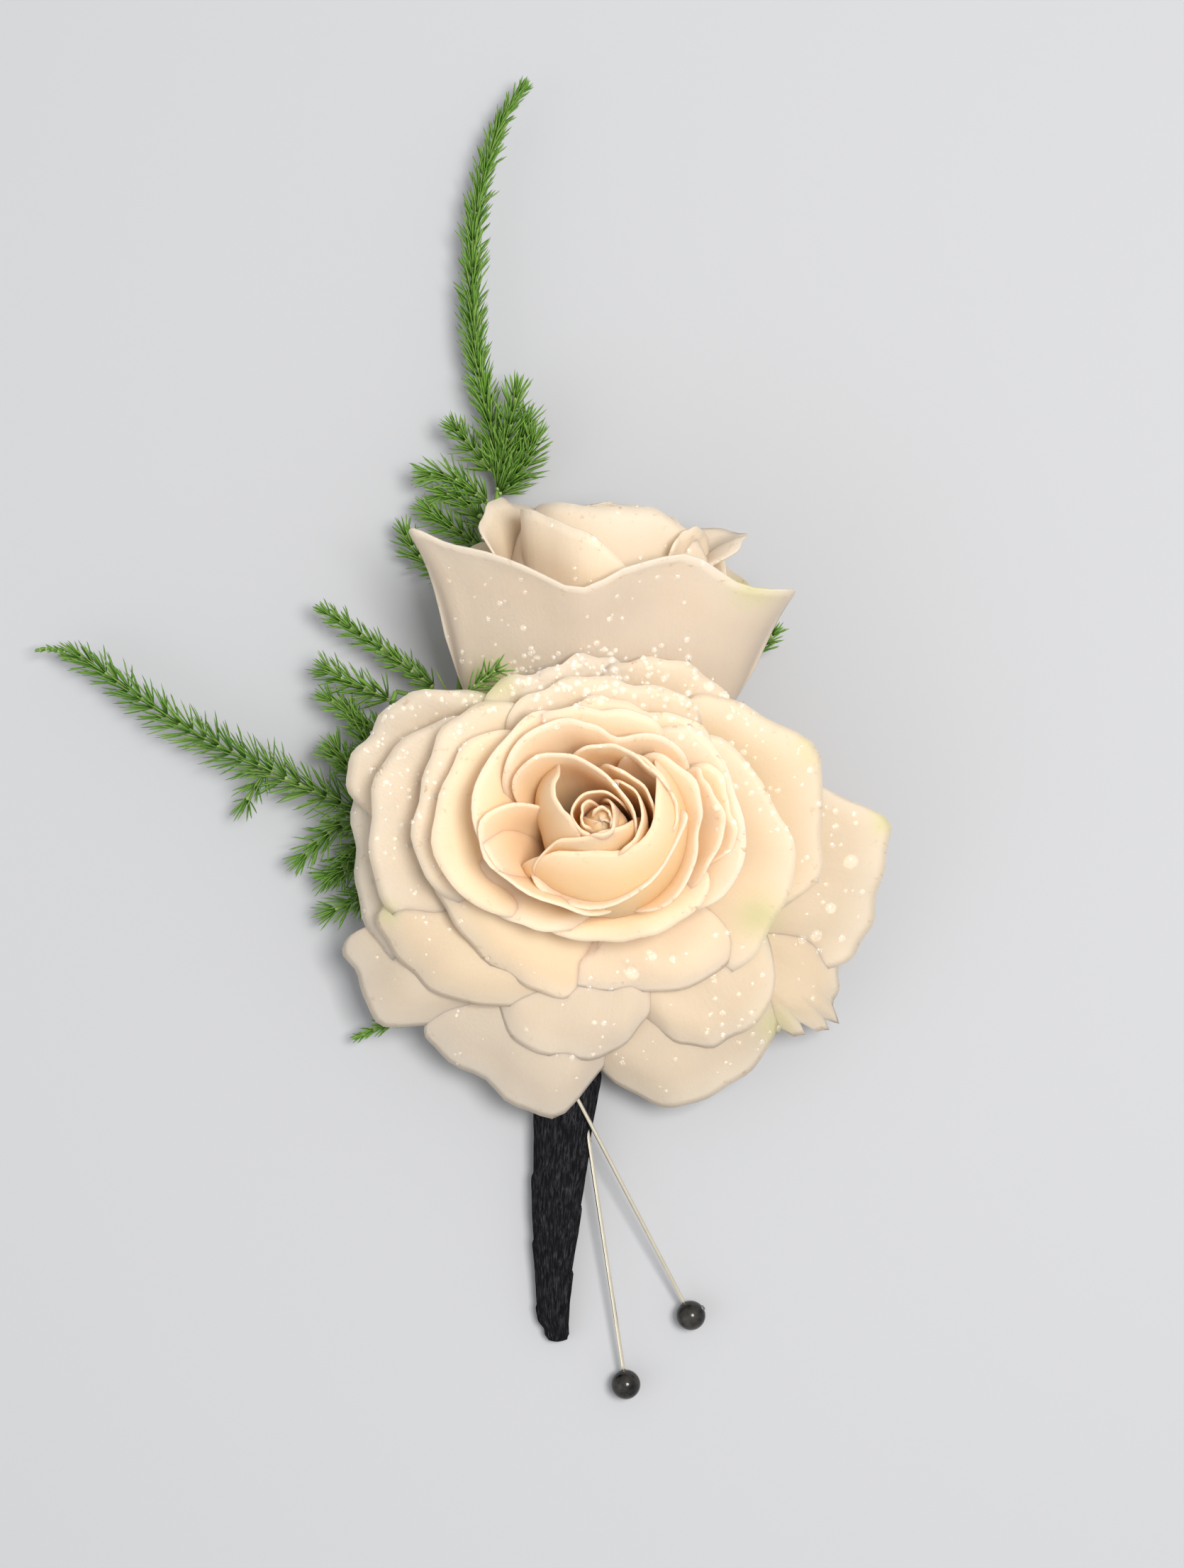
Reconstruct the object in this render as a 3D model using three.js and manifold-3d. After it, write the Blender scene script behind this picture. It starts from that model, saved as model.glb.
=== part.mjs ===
// Boutonniere: two garden roses and asparagus fern, their stems wound in floral tape, with two pearl-headed pins.
// Millimetres, +Z up. It lies on the table at z = 0 with the blooms looking up and the handle towards -Y.
// Each bloom is modelled upright round its own axis, and its mesh is then turned and placed.
import * as THREE from 'three';
import { mergeVertices } from 'three/addons/utils/BufferGeometryUtils.js';
import Module from 'manifold-3d';

const wasm = await Module();
wasm.setup();

// Driving dimensions
const PETAL_THICKNESS = 0.6;
const SEAT_GAP = 0.3;
const FRONT_ROSE = { base: [20.5, -17.5, 14], axis: [-0.08, 0.27, 0.96] };
const BACK_ROSE = { base: [17.5, -6.5, 11], axis: [0.03, 0.966, 0.26] };
const STEM_RADIUS = 1.6;
const FROND_STEM_RADIUS = 0.6;
const TWIG_RADIUS = 0.45;
const TWIG_TIP_RADIUS = 0.32;
const NEEDLE_WIDTH = 0.6;
const WHORL_TURN = 0.07;
const SHAFT_RADIUS = 0.27;
const BEAD_RADIUS = 1.9;
const SHAFT_IN_BEAD = 1.1;

// A petal's rim runs through three or more places, given as [azimuth in degrees, distance from the rose's axis,
// height], from one corner of the petal to the other. lip and rise are the slopes at its rim and its root, tuck is
// how far its sides slip out and in under the neighbours, and point is a drawn-out tip at the place 'at' between
// -1 and 1.
const CORNER = 0.76;
const SQUARENESS = 7;
const CLAW = 0.4;
const FRONT_RINGS = [
  {
    root: [4.5, 1], rise: 20, tuck: 0.8, roll: 0.7, columns: 7, rows: 3,
    petals: [
      {
        rim: [[212, 30, -5.6], [220, 31.6, -8.6], [236, 29.7, -10.9], [252, 28.1, -12.1], [267, 21.1, -9.5]],
        lip: -42, rise: 4, point: 0.04, at: 0.38, columns: 9,
      },
      { rim: [[259, 23, -10.4], [289, 27.5, -13.4], [320, 26, -9]], lip: -44, rise: 2 },
      { rim: [[316, 26, -10], [328, 30.5, -12], [342, 28.5, -8]], lip: -45, rise: 0, tuck: 0, point: 0.06 },
      {
        rim: [[190, 30.5, 0.3], [191, 35.5, -1.9], [198, 36.1, -4.1], [208, 34.5, -6.3], [216, 29.5, -7]],
        lip: -36, columns: 9,
      },
      {
        rim: [[338, 28.9, -7.3], [348, 32.2, -5.4], [359, 32.2, -2.2], [370, 33.9, 2.2], [382, 26.6, 8.7]],
        lip: -15, point: 0.03, at: 0.38, columns: 9,
      },
      { rim: [[152, 34, 12.5], [177, 32.8, 6], [200, 31, -0.5]], lip: -10 },
      { rim: [[126, 21.5, 23], [147, 32, 18.5], [166, 34, 11]], lip: 5 },
      { rim: [[36, 21, 17], [62, 21.5, 21], [90, 19, 22.5]], lip: 45, rise: 56 },
      { rim: [[82, 19, 22.5], [108, 20, 23], [134, 22, 22.5]], lip: 45, rise: 56 },
    ],
  },
  {
    root: [4, 2], rise: 34, tuck: 0.7, roll: 0.7, columns: 7, rows: 2,
    petals: [
      {
        rim: [[191, 31, 5.4], [201, 29.7, 2.6], [213, 26.3, 0.6], [227, 22, -0.2], [244, 17.5, -0.5]],
        lip: -35, rise: 30,
      },
      {
        rim: [[224, 22.7, -0.6], [236, 23.8, -2.9], [250, 23.2, -4.5], [266, 21.4, -4.6], [279, 18.5, -2.8]],
        lip: -36, rise: 22,
      },
      {
        rim: [[280, 18.4, -3.3], [290, 21.4, -4.7], [302, 23.8, -5.4], [316, 24.5, -3.8], [333, 21.7, 0.8]],
        lip: -40, rise: 22,
      },
      {
        rim: [[345, 20.6, 2.7], [357, 24.9, 5.2], [370, 26, 10], [384, 26.9, 14], [400, 24.4, 18.2],
          [414, 22.8, 20.8]],
        lip: 5, point: 0.03, at: 0.18, columns: 8,
      },
      { rim: [[140, 24, 24], [168, 29.8, 16], [198, 26.5, 5.5]], lip: 8, columns: 6 },
      { rim: [[56, 18, 23], [92, 17, 25], [128, 18.5, 26]], lip: 45, rise: 58, columns: 6 },
    ],
  },
  {
    root: [3.6, 3], rise: 44, tuck: 0.6, roll: 0.6, columns: 6, rows: 2,
    petals: [
      { rim: [[127, 21, 26], [158, 23.3, 22.5], [192, 22.5, 14.5]], lip: 20 },
      { rim: [[184, 22.8, 15.5], [214, 19.8, 6.5], [248, 16.8, 1]], lip: -22 },
      { rim: [[238, 15.5, 3], [277, 15.3, 2.8], [322, 18.8, 3]], lip: -25, rise: 34 },
      {
        rim: [[319, 19.8, 2.5], [340, 20.9, 8], [359, 22.1, 12.7], [378, 20.2, 18], [402, 18.2, 23]],
        lip: 12, columns: 7,
      },
    ],
  },
  {
    root: [3.2, 4], rise: 54, tuck: 0.6, roll: 0.5, columns: 6, rows: 2,
    petals: [
      { rim: [[132, 16, 28], [170, 20.4, 23.3], [208, 17.3, 15.5]], lip: 35 },
      { rim: [[188, 18, 18.4], [197, 17.6, 16.6], [207, 16, 14.7], [221, 13.8, 13.4], [241, 11.3, 12.6]], lip: 5 },
      {
        rim: [[230, 12.2, 12.5], [256, 10.8, 12.7], [283, 11, 13.5], [309, 12.4, 14.9], [335, 14, 17.4]], lip: 8,
      },
      { rim: [[330, 14.5, 17], [374, 16.3, 23.2], [420, 15, 26]], lip: 40 },
      { rim: [[62, 13, 28.5], [106, 13.6, 29.3], [150, 15.5, 28.5]], lip: 60 },
    ],
  },
  {
    root: [2.6, 5], rise: 60, tuck: 0.5, roll: 0.3, columns: 6, rows: 2,
    petals: [
      { rim: [[112, 14, 30], [163, 14.8, 28.5], [210, 12.8, 22.5]], lip: 60, columns: 5 },
      {
        rim: [[160, 7.4, 26.6], [168, 11, 27.6], [180, 13.6, 27.4], [194, 13.6, 25.6], [210, 12.3, 23.6],
          [234, 10.2, 21.8], [258, 9.3, 20.8]],
        lip: 70, columns: 7,
      },
      {
        rim: [[208, 10, 21.8], [224, 9.2, 21.3], [252, 8.2, 21], [290, 8, 21.8], [326, 8.2, 23.3],
          [355, 8.8, 25.2], [369, 10, 26.3]],
        lip: 60, columns: 7,
      },
      { rim: [[310, 10, 20.8], [361, 11.1, 24.2], [412, 10.8, 29.4]], lip: 65, columns: 5 },
      { rim: [[50, 12, 29.5], [77, 9.8, 29], [95, 10.6, 30.3], [112, 12, 31], [151, 13.4, 29.6]], lip: 75 },
    ],
  },
  {
    root: [2.2, 6], rise: 66, tuck: 0.5, roll: 0.2, columns: 6, rows: 1,
    petals: [
      {
        rim: [[0, 3.1, 27.8], [44, 3.4, 28.8], [77, 4.2, 29.6], [101, 5.8, 30.4], [118, 8, 30.9], [134, 10, 31],
          [150, 11.3, 30.4]],
        lip: 85,
      },
      { rim: [[348, 7.2, 24.6], [387, 8.5, 28.2], [426, 8.4, 30]], lip: 80, columns: 5 },
      {
        rim: [[198, 6.5, 25.3], [225, 4, 25.3], [262, 3, 25.5], [305, 3.8, 25.9], [336, 5, 26.3],
          [375, 6.5, 27.6], [400, 7.6, 29]],
        lip: 150, rise: 26, columns: 7, rows: 2,
      },
      { rim: [[24, 7.6, 29], [80, 7.5, 30.6], [136, 7.4, 30.9]], lip: 92, columns: 5 },
    ],
  },
  {
    root: [1.4, 8], rise: 74, tuck: 0.4, roll: 0.1, columns: 6, rows: 1,
    petals: [
      {
        rim: [[206, 7.6, 25], [203, 6, 26.3], [204, 4.2, 27.3], [222, 2.4, 28], [260, 1.3, 28.4], [310, 1.3, 28.5],
          [350, 2, 28.6]],
        lip: 118, rise: 66, rows: 2,
      },
      { rim: [[130, 6.2, 29.6], [147, 5.6, 29.7], [162, 4.6, 29.3], [176, 3.2, 29], [200, 1.9, 28.8]], lip: 120 },
    ],
  },
];
const BACK_RINGS = [
  {
    root: [3, 1], rise: 14, tuck: 0.8, roll: 0.5, columns: 8, rows: 3,
    petals: [
      {
        rim: [[199, 23.8, 33.8], [207, 21.2, 32.9], [221, 18.7, 33.1], [242, 16.8, 31.5], [263, 16.8, 29.6],
          [283, 16.3, 32.1], [306, 17.2, 33.3], [324, 20.3, 30.1], [340, 23.8, 28.6]],
        lip: 47, tuck: 0, point: 0.03, at: -0.74, squareness: 14, columns: 16, rows: 4,
      },
      { rim: [[6, 18.5, 26], [56, 17.5, 28], [108, 17.5, 28]], lip: 70 },
      { rim: [[88, 17.5, 28], [140, 18, 29], [188, 17.5, 28]], lip: 70 },
    ],
  },
  {
    root: [2.6, 2], rise: 28, tuck: 0.6, roll: 0.5, columns: 7, rows: 2,
    petals: [
      { rim: [[138, 10, 36], [160, 12.4, 37.2], [184, 14.6, 37.4], [207, 16, 33.6]], lip: 50, rise: 40, rows: 3 },
      { rim: [[335, 14, 31], [352, 17.5, 33], [366, 17.5, 33.2], [380, 14, 33]], lip: 15, rise: 60, rows: 3 },
      { rim: [[20, 15.5, 31], [60, 14.5, 32], [104, 14.5, 32]], lip: 75 },
      { rim: [[96, 14.5, 32], [145, 14, 32.5], [190, 13, 32]], lip: 75 },
    ],
  },
  {
    root: [2.2, 5], rise: 40, tuck: 0.5, roll: 0.2, columns: 6, rows: 2,
    petals: [
      {
        rim: [[182, 8, 36], [216, 11, 36.7], [242, 12.3, 36.5], [262, 13.6, 35.3], [284, 13.4, 32]],
        lip: 88, rise: 58, columns: 8, rows: 3,
      },
      { rim: [[306, 12.6, 33.5], [330, 12, 35], [352, 13.5, 33]], lip: 75 },
      {
        rim: [[190, 7.6, 36], [224, 8, 37], [274, 7.5, 37.3], [312, 8.5, 37], [335, 11.2, 34.9]],
        lip: 115, rise: 34, columns: 8, rows: 3,
      },
      { rim: [[26, 10.5, 34], [80, 10, 34], [134, 9.5, 34.5]], lip: 85 },
      { rim: [[116, 9.5, 34.5], [160, 9, 35], [205, 7.5, 35]], lip: 85, rise: 58 },
    ],
  },
];

// The bud that the petals grow round, as [radius, height] up its outline
const FRONT_BUD = [[4.6, 0.4], [6, 2.4], [9.4, 6], [11.8, 9.5], [11.8, 13.5], [9.8, 18], [6.8, 21.6], [3.8, 24.6], [1.5, 27.4]];
const BACK_BUD = [[4.4, 0], [8, 1.6], [12, 5], [14.4, 11], [14.6, 20], [12, 28], [8, 33], [3, 35.4]];
const FRONT_BUD_LEAN = { towards: 110, slope: 0.3 };

const radians = THREE.MathUtils.degToRad;
const vector = (p) => new THREE.Vector3(p[0], p[1], p[2]);

function closedGeometry(positions, triangles) {
  const geometry = new THREE.BufferGeometry();
  geometry.setAttribute('position', new THREE.Float32BufferAttribute(positions, 3));
  geometry.setIndex(triangles);
  return geometry;
}

// three.js shape to a solid and back
function solid(geometry) {
  const bare = geometry.clone();
  bare.deleteAttribute('normal');
  bare.deleteAttribute('uv');
  const merged = mergeVertices(bare, 1e-4);
  const mesh = new wasm.Mesh({
    numProp: 3,
    vertProperties: new Float32Array(merged.attributes.position.array),
    triVerts: new Uint32Array(merged.index.array),
  });
  return new wasm.Manifold(mesh);
}

function geometryOf(body) {
  const mesh = body.getMesh();
  return closedGeometry(Array.from(mesh.vertProperties), Array.from(mesh.triVerts));
}

// Joined solids as one body: hollows that the joining seals are filled, and loose scraps are dropped
function fuse(solids) {
  const bodies = wasm.Manifold.union(solids).decompose();
  return bodies.reduce((largest, body) => (body.volume() > largest.volume() ? body : largest));
}

// The rim's value at t, on a smooth curve through the values, which run from -CORNER to CORNER. Of a curve with
// more than three of them, beyond is the share of the last step that goes on past each corner.
function through(values, t, beyond) {
  const u = t / CORNER;
  if (values.length === 3) {
    const [a, b, c] = values;
    return b + (c - a) / 2 * u + ((a + c) / 2 - b) * u * u;
  }
  const last = values.length - 1;
  const before = beyond * (values[1] - values[0]);
  const after = beyond * (values[last] - values[last - 1]);
  const v = [values[0] - 2 * before, values[0] - before, ...values, values[last] + after, values[last] + 2 * after];
  const place = (u + 1) / 2 * last + 2;
  const k = Math.min(Math.max(Math.floor(place), 1), last + 2);
  const f = place - k;
  const [a, b, c, d] = v.slice(k - 1, k + 3);
  return 0.5 * (2 * b + (c - a) * f + (2 * a - 5 * b + 4 * c - d) * f ** 2 + (3 * b - a - 3 * c + d) * f ** 3);
}

// The outline of a petal cut along its length, as a curve of [distance, height] from root to rim
function petalProfile(petal, ring, t) {
  const root = new THREE.Vector2(...ring.root);
  const tip = new THREE.Vector2(through(petal.rim.map((p) => p[1]), t, 0.3), through(petal.rim.map((p) => p[2]), t, 0.3));
  const length = root.distanceTo(tip);
  const rise = radians(petal.rise ?? ring.rise);
  const lip = radians(petal.lip);
  const outward = new THREE.Vector2(Math.cos(rise), Math.sin(rise)).multiplyScalar(0.5 * length).add(root);
  const inward = new THREE.Vector2(Math.cos(lip), Math.sin(lip)).multiplyScalar(-0.35 * length).add(tip);
  return new THREE.CubicBezierCurve(root, outward, inward, tip);
}

// One petal as a sheet of even thickness, curved along and across, with its edges closed
function petalGeometry(petal, ring, press) {
  const { columns, rows, tuck, squareness } = { squareness: SQUARENESS, ...ring, ...petal };
  const sheet = [];
  for (let i = 0; i <= columns; i++) {
    const t = -Math.cos(Math.PI * i / columns) * 0.99;
    const profile = petalProfile(petal, ring, t);
    const azimuth = radians(through(petal.rim.map((p) => p[0]), t, 1));
    const outline = CLAW + (1 - CLAW) * Math.sqrt(1 - Math.abs(t) ** squareness);
    const drawn = 1 + (petal.point ?? 0) * Math.exp(-(((t - (petal.at ?? 0)) / 0.14) ** 2));
    const column = [];
    for (let j = 0; j <= rows; j++) {
      const along = j / rows;
      const s = Math.min(outline * along * drawn, 1.06);
      const place = profile.getPoint(s);
      const slope = profile.getPoint(s + 0.01).sub(profile.getPoint(s - 0.01)).normalize();
      const rolled = Math.max(0, along - 0.72) / 0.28;
      const offset = tuck * t * Math.min(1, 1.6 * along) - ring.roll * rolled ** 2;
      const r = place.x - slope.y * offset;
      const h = place.y + slope.x * offset;
      column.push(press(new THREE.Vector3(r * Math.cos(azimuth), r * Math.sin(azimuth), h)));
    }
    sheet.push(column);
  }
  const positions = [];
  const normalAt = (i, j) => {
    const across = sheet[Math.min(i + 1, columns)][j].clone().sub(sheet[Math.max(i - 1, 0)][j]);
    const along = sheet[i][Math.min(j + 1, rows)].clone().sub(sheet[i][Math.max(j - 1, 0)]);
    return across.cross(along).normalize();
  };
  for (const side of [1, -1]) {
    for (let i = 0; i <= columns; i++) {
      for (let j = 0; j <= rows; j++) {
        const p = sheet[i][j].clone().addScaledVector(normalAt(i, j), side * PETAL_THICKNESS / 2);
        positions.push(p.x, p.y, p.z);
      }
    }
  }
  const width = rows + 1;
  const back = (columns + 1) * width;
  const triangles = [];
  const quad = (a, b, c, d) => triangles.push(a, b, c, a, c, d);
  for (let i = 0; i < columns; i++) {
    for (let j = 0; j < rows; j++) {
      const a = i * width + j;
      triangles.push(a, a + width, a + width + 1, a, a + width + 1, a + 1);
      triangles.push(a + back, a + width + 1 + back, a + width + back, a + back, a + 1 + back, a + width + 1 + back);
    }
    quad(i * width + back, (i + 1) * width + back, (i + 1) * width, i * width);
    quad(i * width + rows, (i + 1) * width + rows, (i + 1) * width + rows + back, i * width + rows + back);
  }
  for (let j = 0; j < rows; j++) {
    quad(j, j + 1, j + 1 + back, j + back);
    quad(columns * width + j + back, columns * width + j + 1 + back, columns * width + j + 1, columns * width + j);
  }
  return closedGeometry(positions, triangles);
}

function budGeometry(outline) {
  const profile = [[0, outline[0][1]], ...outline, [0, outline[outline.length - 1][1] + 0.8]];
  return new THREE.LatheGeometry(profile.map(([r, h]) => new THREE.Vector2(r, h)), 9).rotateX(Math.PI / 2);
}

function bloomGeometry(rings, bud, pressBud, press) {
  const pieces = [solid(bend(budGeometry(bud), pressBud))];
  for (const ring of rings) {
    for (const petal of ring.petals) pieces.push(solid(petalGeometry(petal, ring, press)));
  }
  return geometryOf(fuse(pieces));
}

function bend(geometry, move) {
  const place = geometry.attributes.position;
  for (let i = 0; i < place.count; i++) {
    const p = move(new THREE.Vector3().fromBufferAttribute(place, i));
    place.setXYZ(i, p.x, p.y, p.z);
  }
  return geometry;
}

// The front rose has opened further on its lower side, so its heart leans up and back
function leanFrontBud(p) {
  const towards = radians(FRONT_BUD_LEAN.towards);
  const share = Math.min(1, p.z / 9);
  p.z += FRONT_BUD_LEAN.slope * share * (p.x * Math.cos(towards) + p.y * Math.sin(towards));
  return p;
}

// The back rose is pressed flat where it lies against the front rose and on the table. In its own frame -Y looks
// up, and the table is the sloping plane y = BACK_FLOOR.at + BACK_FLOOR.slope * h.
const BACK_FLOOR = { at: 11.0, slope: 0.269 };
function pressBack(p) {
  if (p.y < 0) {
    const room = Math.max(3, 4.4 + 0.455 * p.z + 0.05 * Math.max(0, p.z - 13) ** 2);
    p.y /= (1 + (-p.y / room) ** 4) ** 0.25;
  } else {
    p.y *= 1 - 0.35 * Math.exp(-(((p.z - 4) / 9) ** 2));
    p.y = Math.min(p.y, BACK_FLOOR.at + BACK_FLOOR.slope * p.z);
  }
  return p;
}

// The rose's own frame: its axis, and an X as near the table's X as it can be
function roseMatrix({ base, axis }) {
  const up = vector(axis).normalize();
  const right = new THREE.Vector3(1, 0, 0).addScaledVector(up, -up.x).normalize();
  return new THREE.Matrix4().makeBasis(right, up.clone().cross(right), up).setPosition(vector(base));
}

// A limb of round section that follows a curve through its points, with its own radius at each point
function limbGeometry(points, radii, sides, steps) {
  const curve = new THREE.CatmullRomCurve3(points.map(vector), false, 'centripetal');
  const frames = curve.computeFrenetFrames(steps);
  const positions = [];
  const triangles = [];
  for (let i = 0; i <= steps; i++) {
    const u = i / steps;
    const centre = curve.getPointAt(u);
    const place = curve.getUtoTmapping(u) * (radii.length - 1);
    const k = Math.min(Math.floor(place), radii.length - 2);
    const radius = THREE.MathUtils.lerp(radii[k], radii[k + 1], place - k);
    for (let j = 0; j < sides; j++) {
      const angle = 2 * Math.PI * j / sides;
      const p = centre.clone()
        .addScaledVector(frames.normals[i], radius * Math.cos(angle))
        .addScaledVector(frames.binormals[i], radius * Math.sin(angle));
      positions.push(p.x, p.y, p.z);
    }
  }
  for (let i = 0; i < steps; i++) {
    for (let j = 0; j < sides; j++) {
      const a = i * sides + j;
      const b = i * sides + (j + 1) % sides;
      triangles.push(a, b, b + sides, a, b + sides, a + sides);
    }
  }
  for (let j = 1; j < sides - 1; j++) {
    triangles.push(0, j + 1, j);
    const last = steps * sides;
    triangles.push(last, last + j, last + j + 1);
  }
  return closedGeometry(positions, triangles);
}

// Green parts of the roses: hip, sepals and stem, grown as one. A sepal is [azimuth, length, lift of its tip].
const FRONT_STEM = {
  points: [[20.53, -17.6, 13.6], [20.74, -18.3, 11.1], [20.96, -19.1, 8.4], [20.9, -21.5, 5.4], [19.8, -26, 3.9],
    [17.6, -33, 3.5], [16.2, -40, 3.2], [15.9, -43.6, 3.1]],
  radii: [3.6, 4.3, 3.6, 2, STEM_RADIUS, STEM_RADIUS, STEM_RADIUS, 1.4],
  sepals: [[-14, 9, -6], [58, 7, -3.5], [128, 4.8, -1], [216, 9, -6], [284, 9, -6]],
};
const BACK_STEM = {
  points: [[17.49, -6.9, 10.9], [17.43, -8.6, 10.43], [16.7, -11.1, 9], [15, -15, 6.8], [13.8, -20, 4.9],
    [13.4, -27, 3.8], [12.9, -35, 3.4], [12.4, -46, 3.1], [12.2, -60, 2.7]],
  radii: [3.2, 3.8, 2.7, 1.7, STEM_RADIUS, STEM_RADIUS, STEM_RADIUS, 1.3, 1.0],
  sepals: [[4, 9, -2], [70, 9, -1], [126, 9, -1], [183, 20, 16], [268, 4.6, -0.6]],
};
const SEPAL_WIDTH = 4.2;
const SEPAL_THICKNESS = 0.7;
const SEPAL_ROOT = 2;
const SEPAL_DROP = 0.8;
const SEPAL_STRIPS = 5;

// A pointed blade in strips, so that it bends evenly
function sepalGeometry(length, lift) {
  const positions = [];
  const triangles = [];
  for (let i = 0; i <= SEPAL_STRIPS; i++) {
    const along = i / SEPAL_STRIPS;
    const x = SEPAL_ROOT + (length - SEPAL_ROOT) * along;
    const half = SEPAL_WIDTH / 2 * (1 - 0.9 * along ** 2);
    const top = lift * along ** 2 - SEPAL_DROP;
    const bottom = top - SEPAL_THICKNESS;
    positions.push(x, -half, top, x, -half, bottom, x, half, bottom, x, half, top);
  }
  for (let i = 0; i < SEPAL_STRIPS; i++) {
    for (let j = 0; j < 4; j++) {
      const a = i * 4 + j;
      const b = i * 4 + (j + 1) % 4;
      triangles.push(a, b, b + 4, a, b + 4, a + 4);
    }
  }
  const last = SEPAL_STRIPS * 4;
  triangles.push(0, 2, 1, 0, 3, 2, last, last + 1, last + 2, last, last + 2, last + 3);
  return closedGeometry(positions, triangles);
}

function greenGeometry({ points, radii, sepals }, rose) {
  const pieces = [solid(limbGeometry(points, radii, 8, 14))];
  for (const [azimuth, length, lift] of sepals) {
    const geometry = sepalGeometry(length, lift).rotateZ(radians(azimuth));
    pieces.push(solid(geometry.applyMatrix4(roseMatrix(rose))));
  }
  return geometryOf(fuse(pieces));
}

// A plain hole for a limb, wider by the seating gap all round and longer by it at both ends
function boreGeometry(points, radii, sides, steps) {
  const lengthened = (end, next) => end.clone().addScaledVector(end.clone().sub(next).normalize(), SEAT_GAP).toArray();
  const all = points.map(vector);
  const ends = [lengthened(all[0], all[1]), lengthened(all[all.length - 1], all[all.length - 2])];
  return limbGeometry([ends[0], ...points.slice(1, -1), ends[1]], radii.map((r) => (r + SEAT_GAP) / Math.cos(Math.PI / sides)), sides, steps);
}

// Fronds: a main stem, side sprigs and needles in whorls. Each sprig is a list of points, the gap between its
// whorls, its needles' length and their lean towards the tip in degrees from the sprig.
const UPPER_FROND = {
  stem: [[14.5, -39, 5.4], [12.4, -31, 6.4], [9.2, -24, 5.8], [4.5, -12, 3.8], [0.5, 2, 2.6], [1.2, 14, 2.4], [4, 25, 3.4], [5.6, 33, 5]],
  sprigs: [
    { points: [[5.6, 33, 5], [4.4, 39.8, 5.4], [2.6, 48, 5.6], [2.1, 57, 5.6], [2.6, 66.7, 5.6], [5.1, 76.6, 5.4], [8.9, 84.2, 5.2]], whorl: 3.2, needle: 2.2, lean: 36 },
    { points: [[5.1, 33, 5], [6.8, 39.5, 7], [8.2, 45.8, 8.5]], whorl: 3.4, needle: 2.6, lean: 40 },
    { points: [[5.5, 31, 5], [8.8, 35, 6], [10.2, 39.4, 7]], whorl: 3.4, needle: 2.4, lean: 40 },
    { points: [[4.4, 34, 5], [1, 38, 6], [-0.9, 40.4, 7]], whorl: 3.4, needle: 2.4, lean: 42 },
    { points: [[4, 30, 5], [-0.5, 33, 6], [-5, 33.6, 6.5]], whorl: 3.4, needle: 2.4, lean: 42 },
    { points: [[3.4, 24, 3.6], [-0.6, 27, 4.5], [-4.6, 29.6, 5]], whorl: 3.4, needle: 2.4, lean: 42 },
    { points: [[2.2, 19.5, 3.2], [-4.5, 23, 4], [-7.2, 27.6, 4.5]], whorl: 3.4, needle: 2.4, lean: 42 },
  ],
};
const LEFT_FROND = {
  stem: [[11.3, -39, 5.4], [8.2, -33, 5.8], [2, -26, 5], [-5, -18.5, 5], [-9, -10, 5.2], [-9.6, -1, 5.6], [-7.6, 6, 6]],
  sprigs: [
    { points: [[-9, -10, 5.2], [-14.8, -7.9, 5.6], [-25.7, -3, 6], [-35.3, 2.1, 6], [-45.3, 9, 5.6], [-50.5, 11.2, 5.4]], whorl: 3.2, needle: 3, lean: 52 },
    { points: [[-50.2, 11.1, 5.4], [-52.3, 11.4, 5.3], [-54.0, 11.2, 5.2]], whorl: 9, needle: 1, lean: 30 },
    { points: [[-24, -3.8, 6], [-26.2, -6.8, 5], [-27.9, -10.6, 4.4]], whorl: 3.4, needle: 2.2, lean: 45 },
    { points: [[-7.6, 6, 6], [-9.5, 10.2, 6.4], [-17.4, 17, 6.5]], whorl: 3.4, needle: 2.4, lean: 42 },
    { points: [[-8.4, 5, 6], [-13, 7, 6.4], [-17.5, 9.2, 6.4]], whorl: 3.4, needle: 2.4, lean: 42 },
    { points: [[-9.4, 0.5, 5.7], [-13, 3, 6.2], [-17.3, 6, 6.4]], whorl: 3.4, needle: 2.4, lean: 42 },
    { points: [[-9.6, -1.5, 5.6], [-13.5, -3, 6], [-17.4, -1, 6.4]], whorl: 3.4, needle: 2.2, lean: 42 },
    { points: [[-8.6, -11.5, 5.2], [-14, -10.6, 5.2], [-21.2, -16.4, 4.8]], whorl: 3.4, needle: 2.4, lean: 42 },
    { points: [[-7.4, -14, 5.1], [-12.8, -16, 5], [-18, -18.1, 4.8]], whorl: 3.4, needle: 2.4, lean: 42 },
    { points: [[-5.4, -18, 5], [-11.5, -20, 5], [-17.6, -22.6, 4.8]], whorl: 3.4, needle: 2.4, lean: 42 },
    { points: [[4.6, -28.6, 5], [-4, -34, 4.4], [-13.8, -38.4, 4]], whorl: 3.4, needle: 1.8, lean: 36 },
  ],
};
const RIGHT_FROND = {
  stem: [[18, -39, 5.3], [20.4, -33, 5.5], [25.8, -24, 4.6], [29.5, -10, 3.4], [33.4, 1, 3], [36.4, 8, 3.8]],
  sprigs: [
    { points: [[36, 7.4, 3.7], [38.4, 10.4, 4.4], [41.4, 13, 5.2]], whorl: 2.8, needle: 2.2, lean: 40 },
    { points: [[34.6, 4, 3.3], [38.4, 5.6, 3.8], [41, 8.4, 4.4]], whorl: 3.4, needle: 2, lean: 40 },
  ],
};

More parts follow.
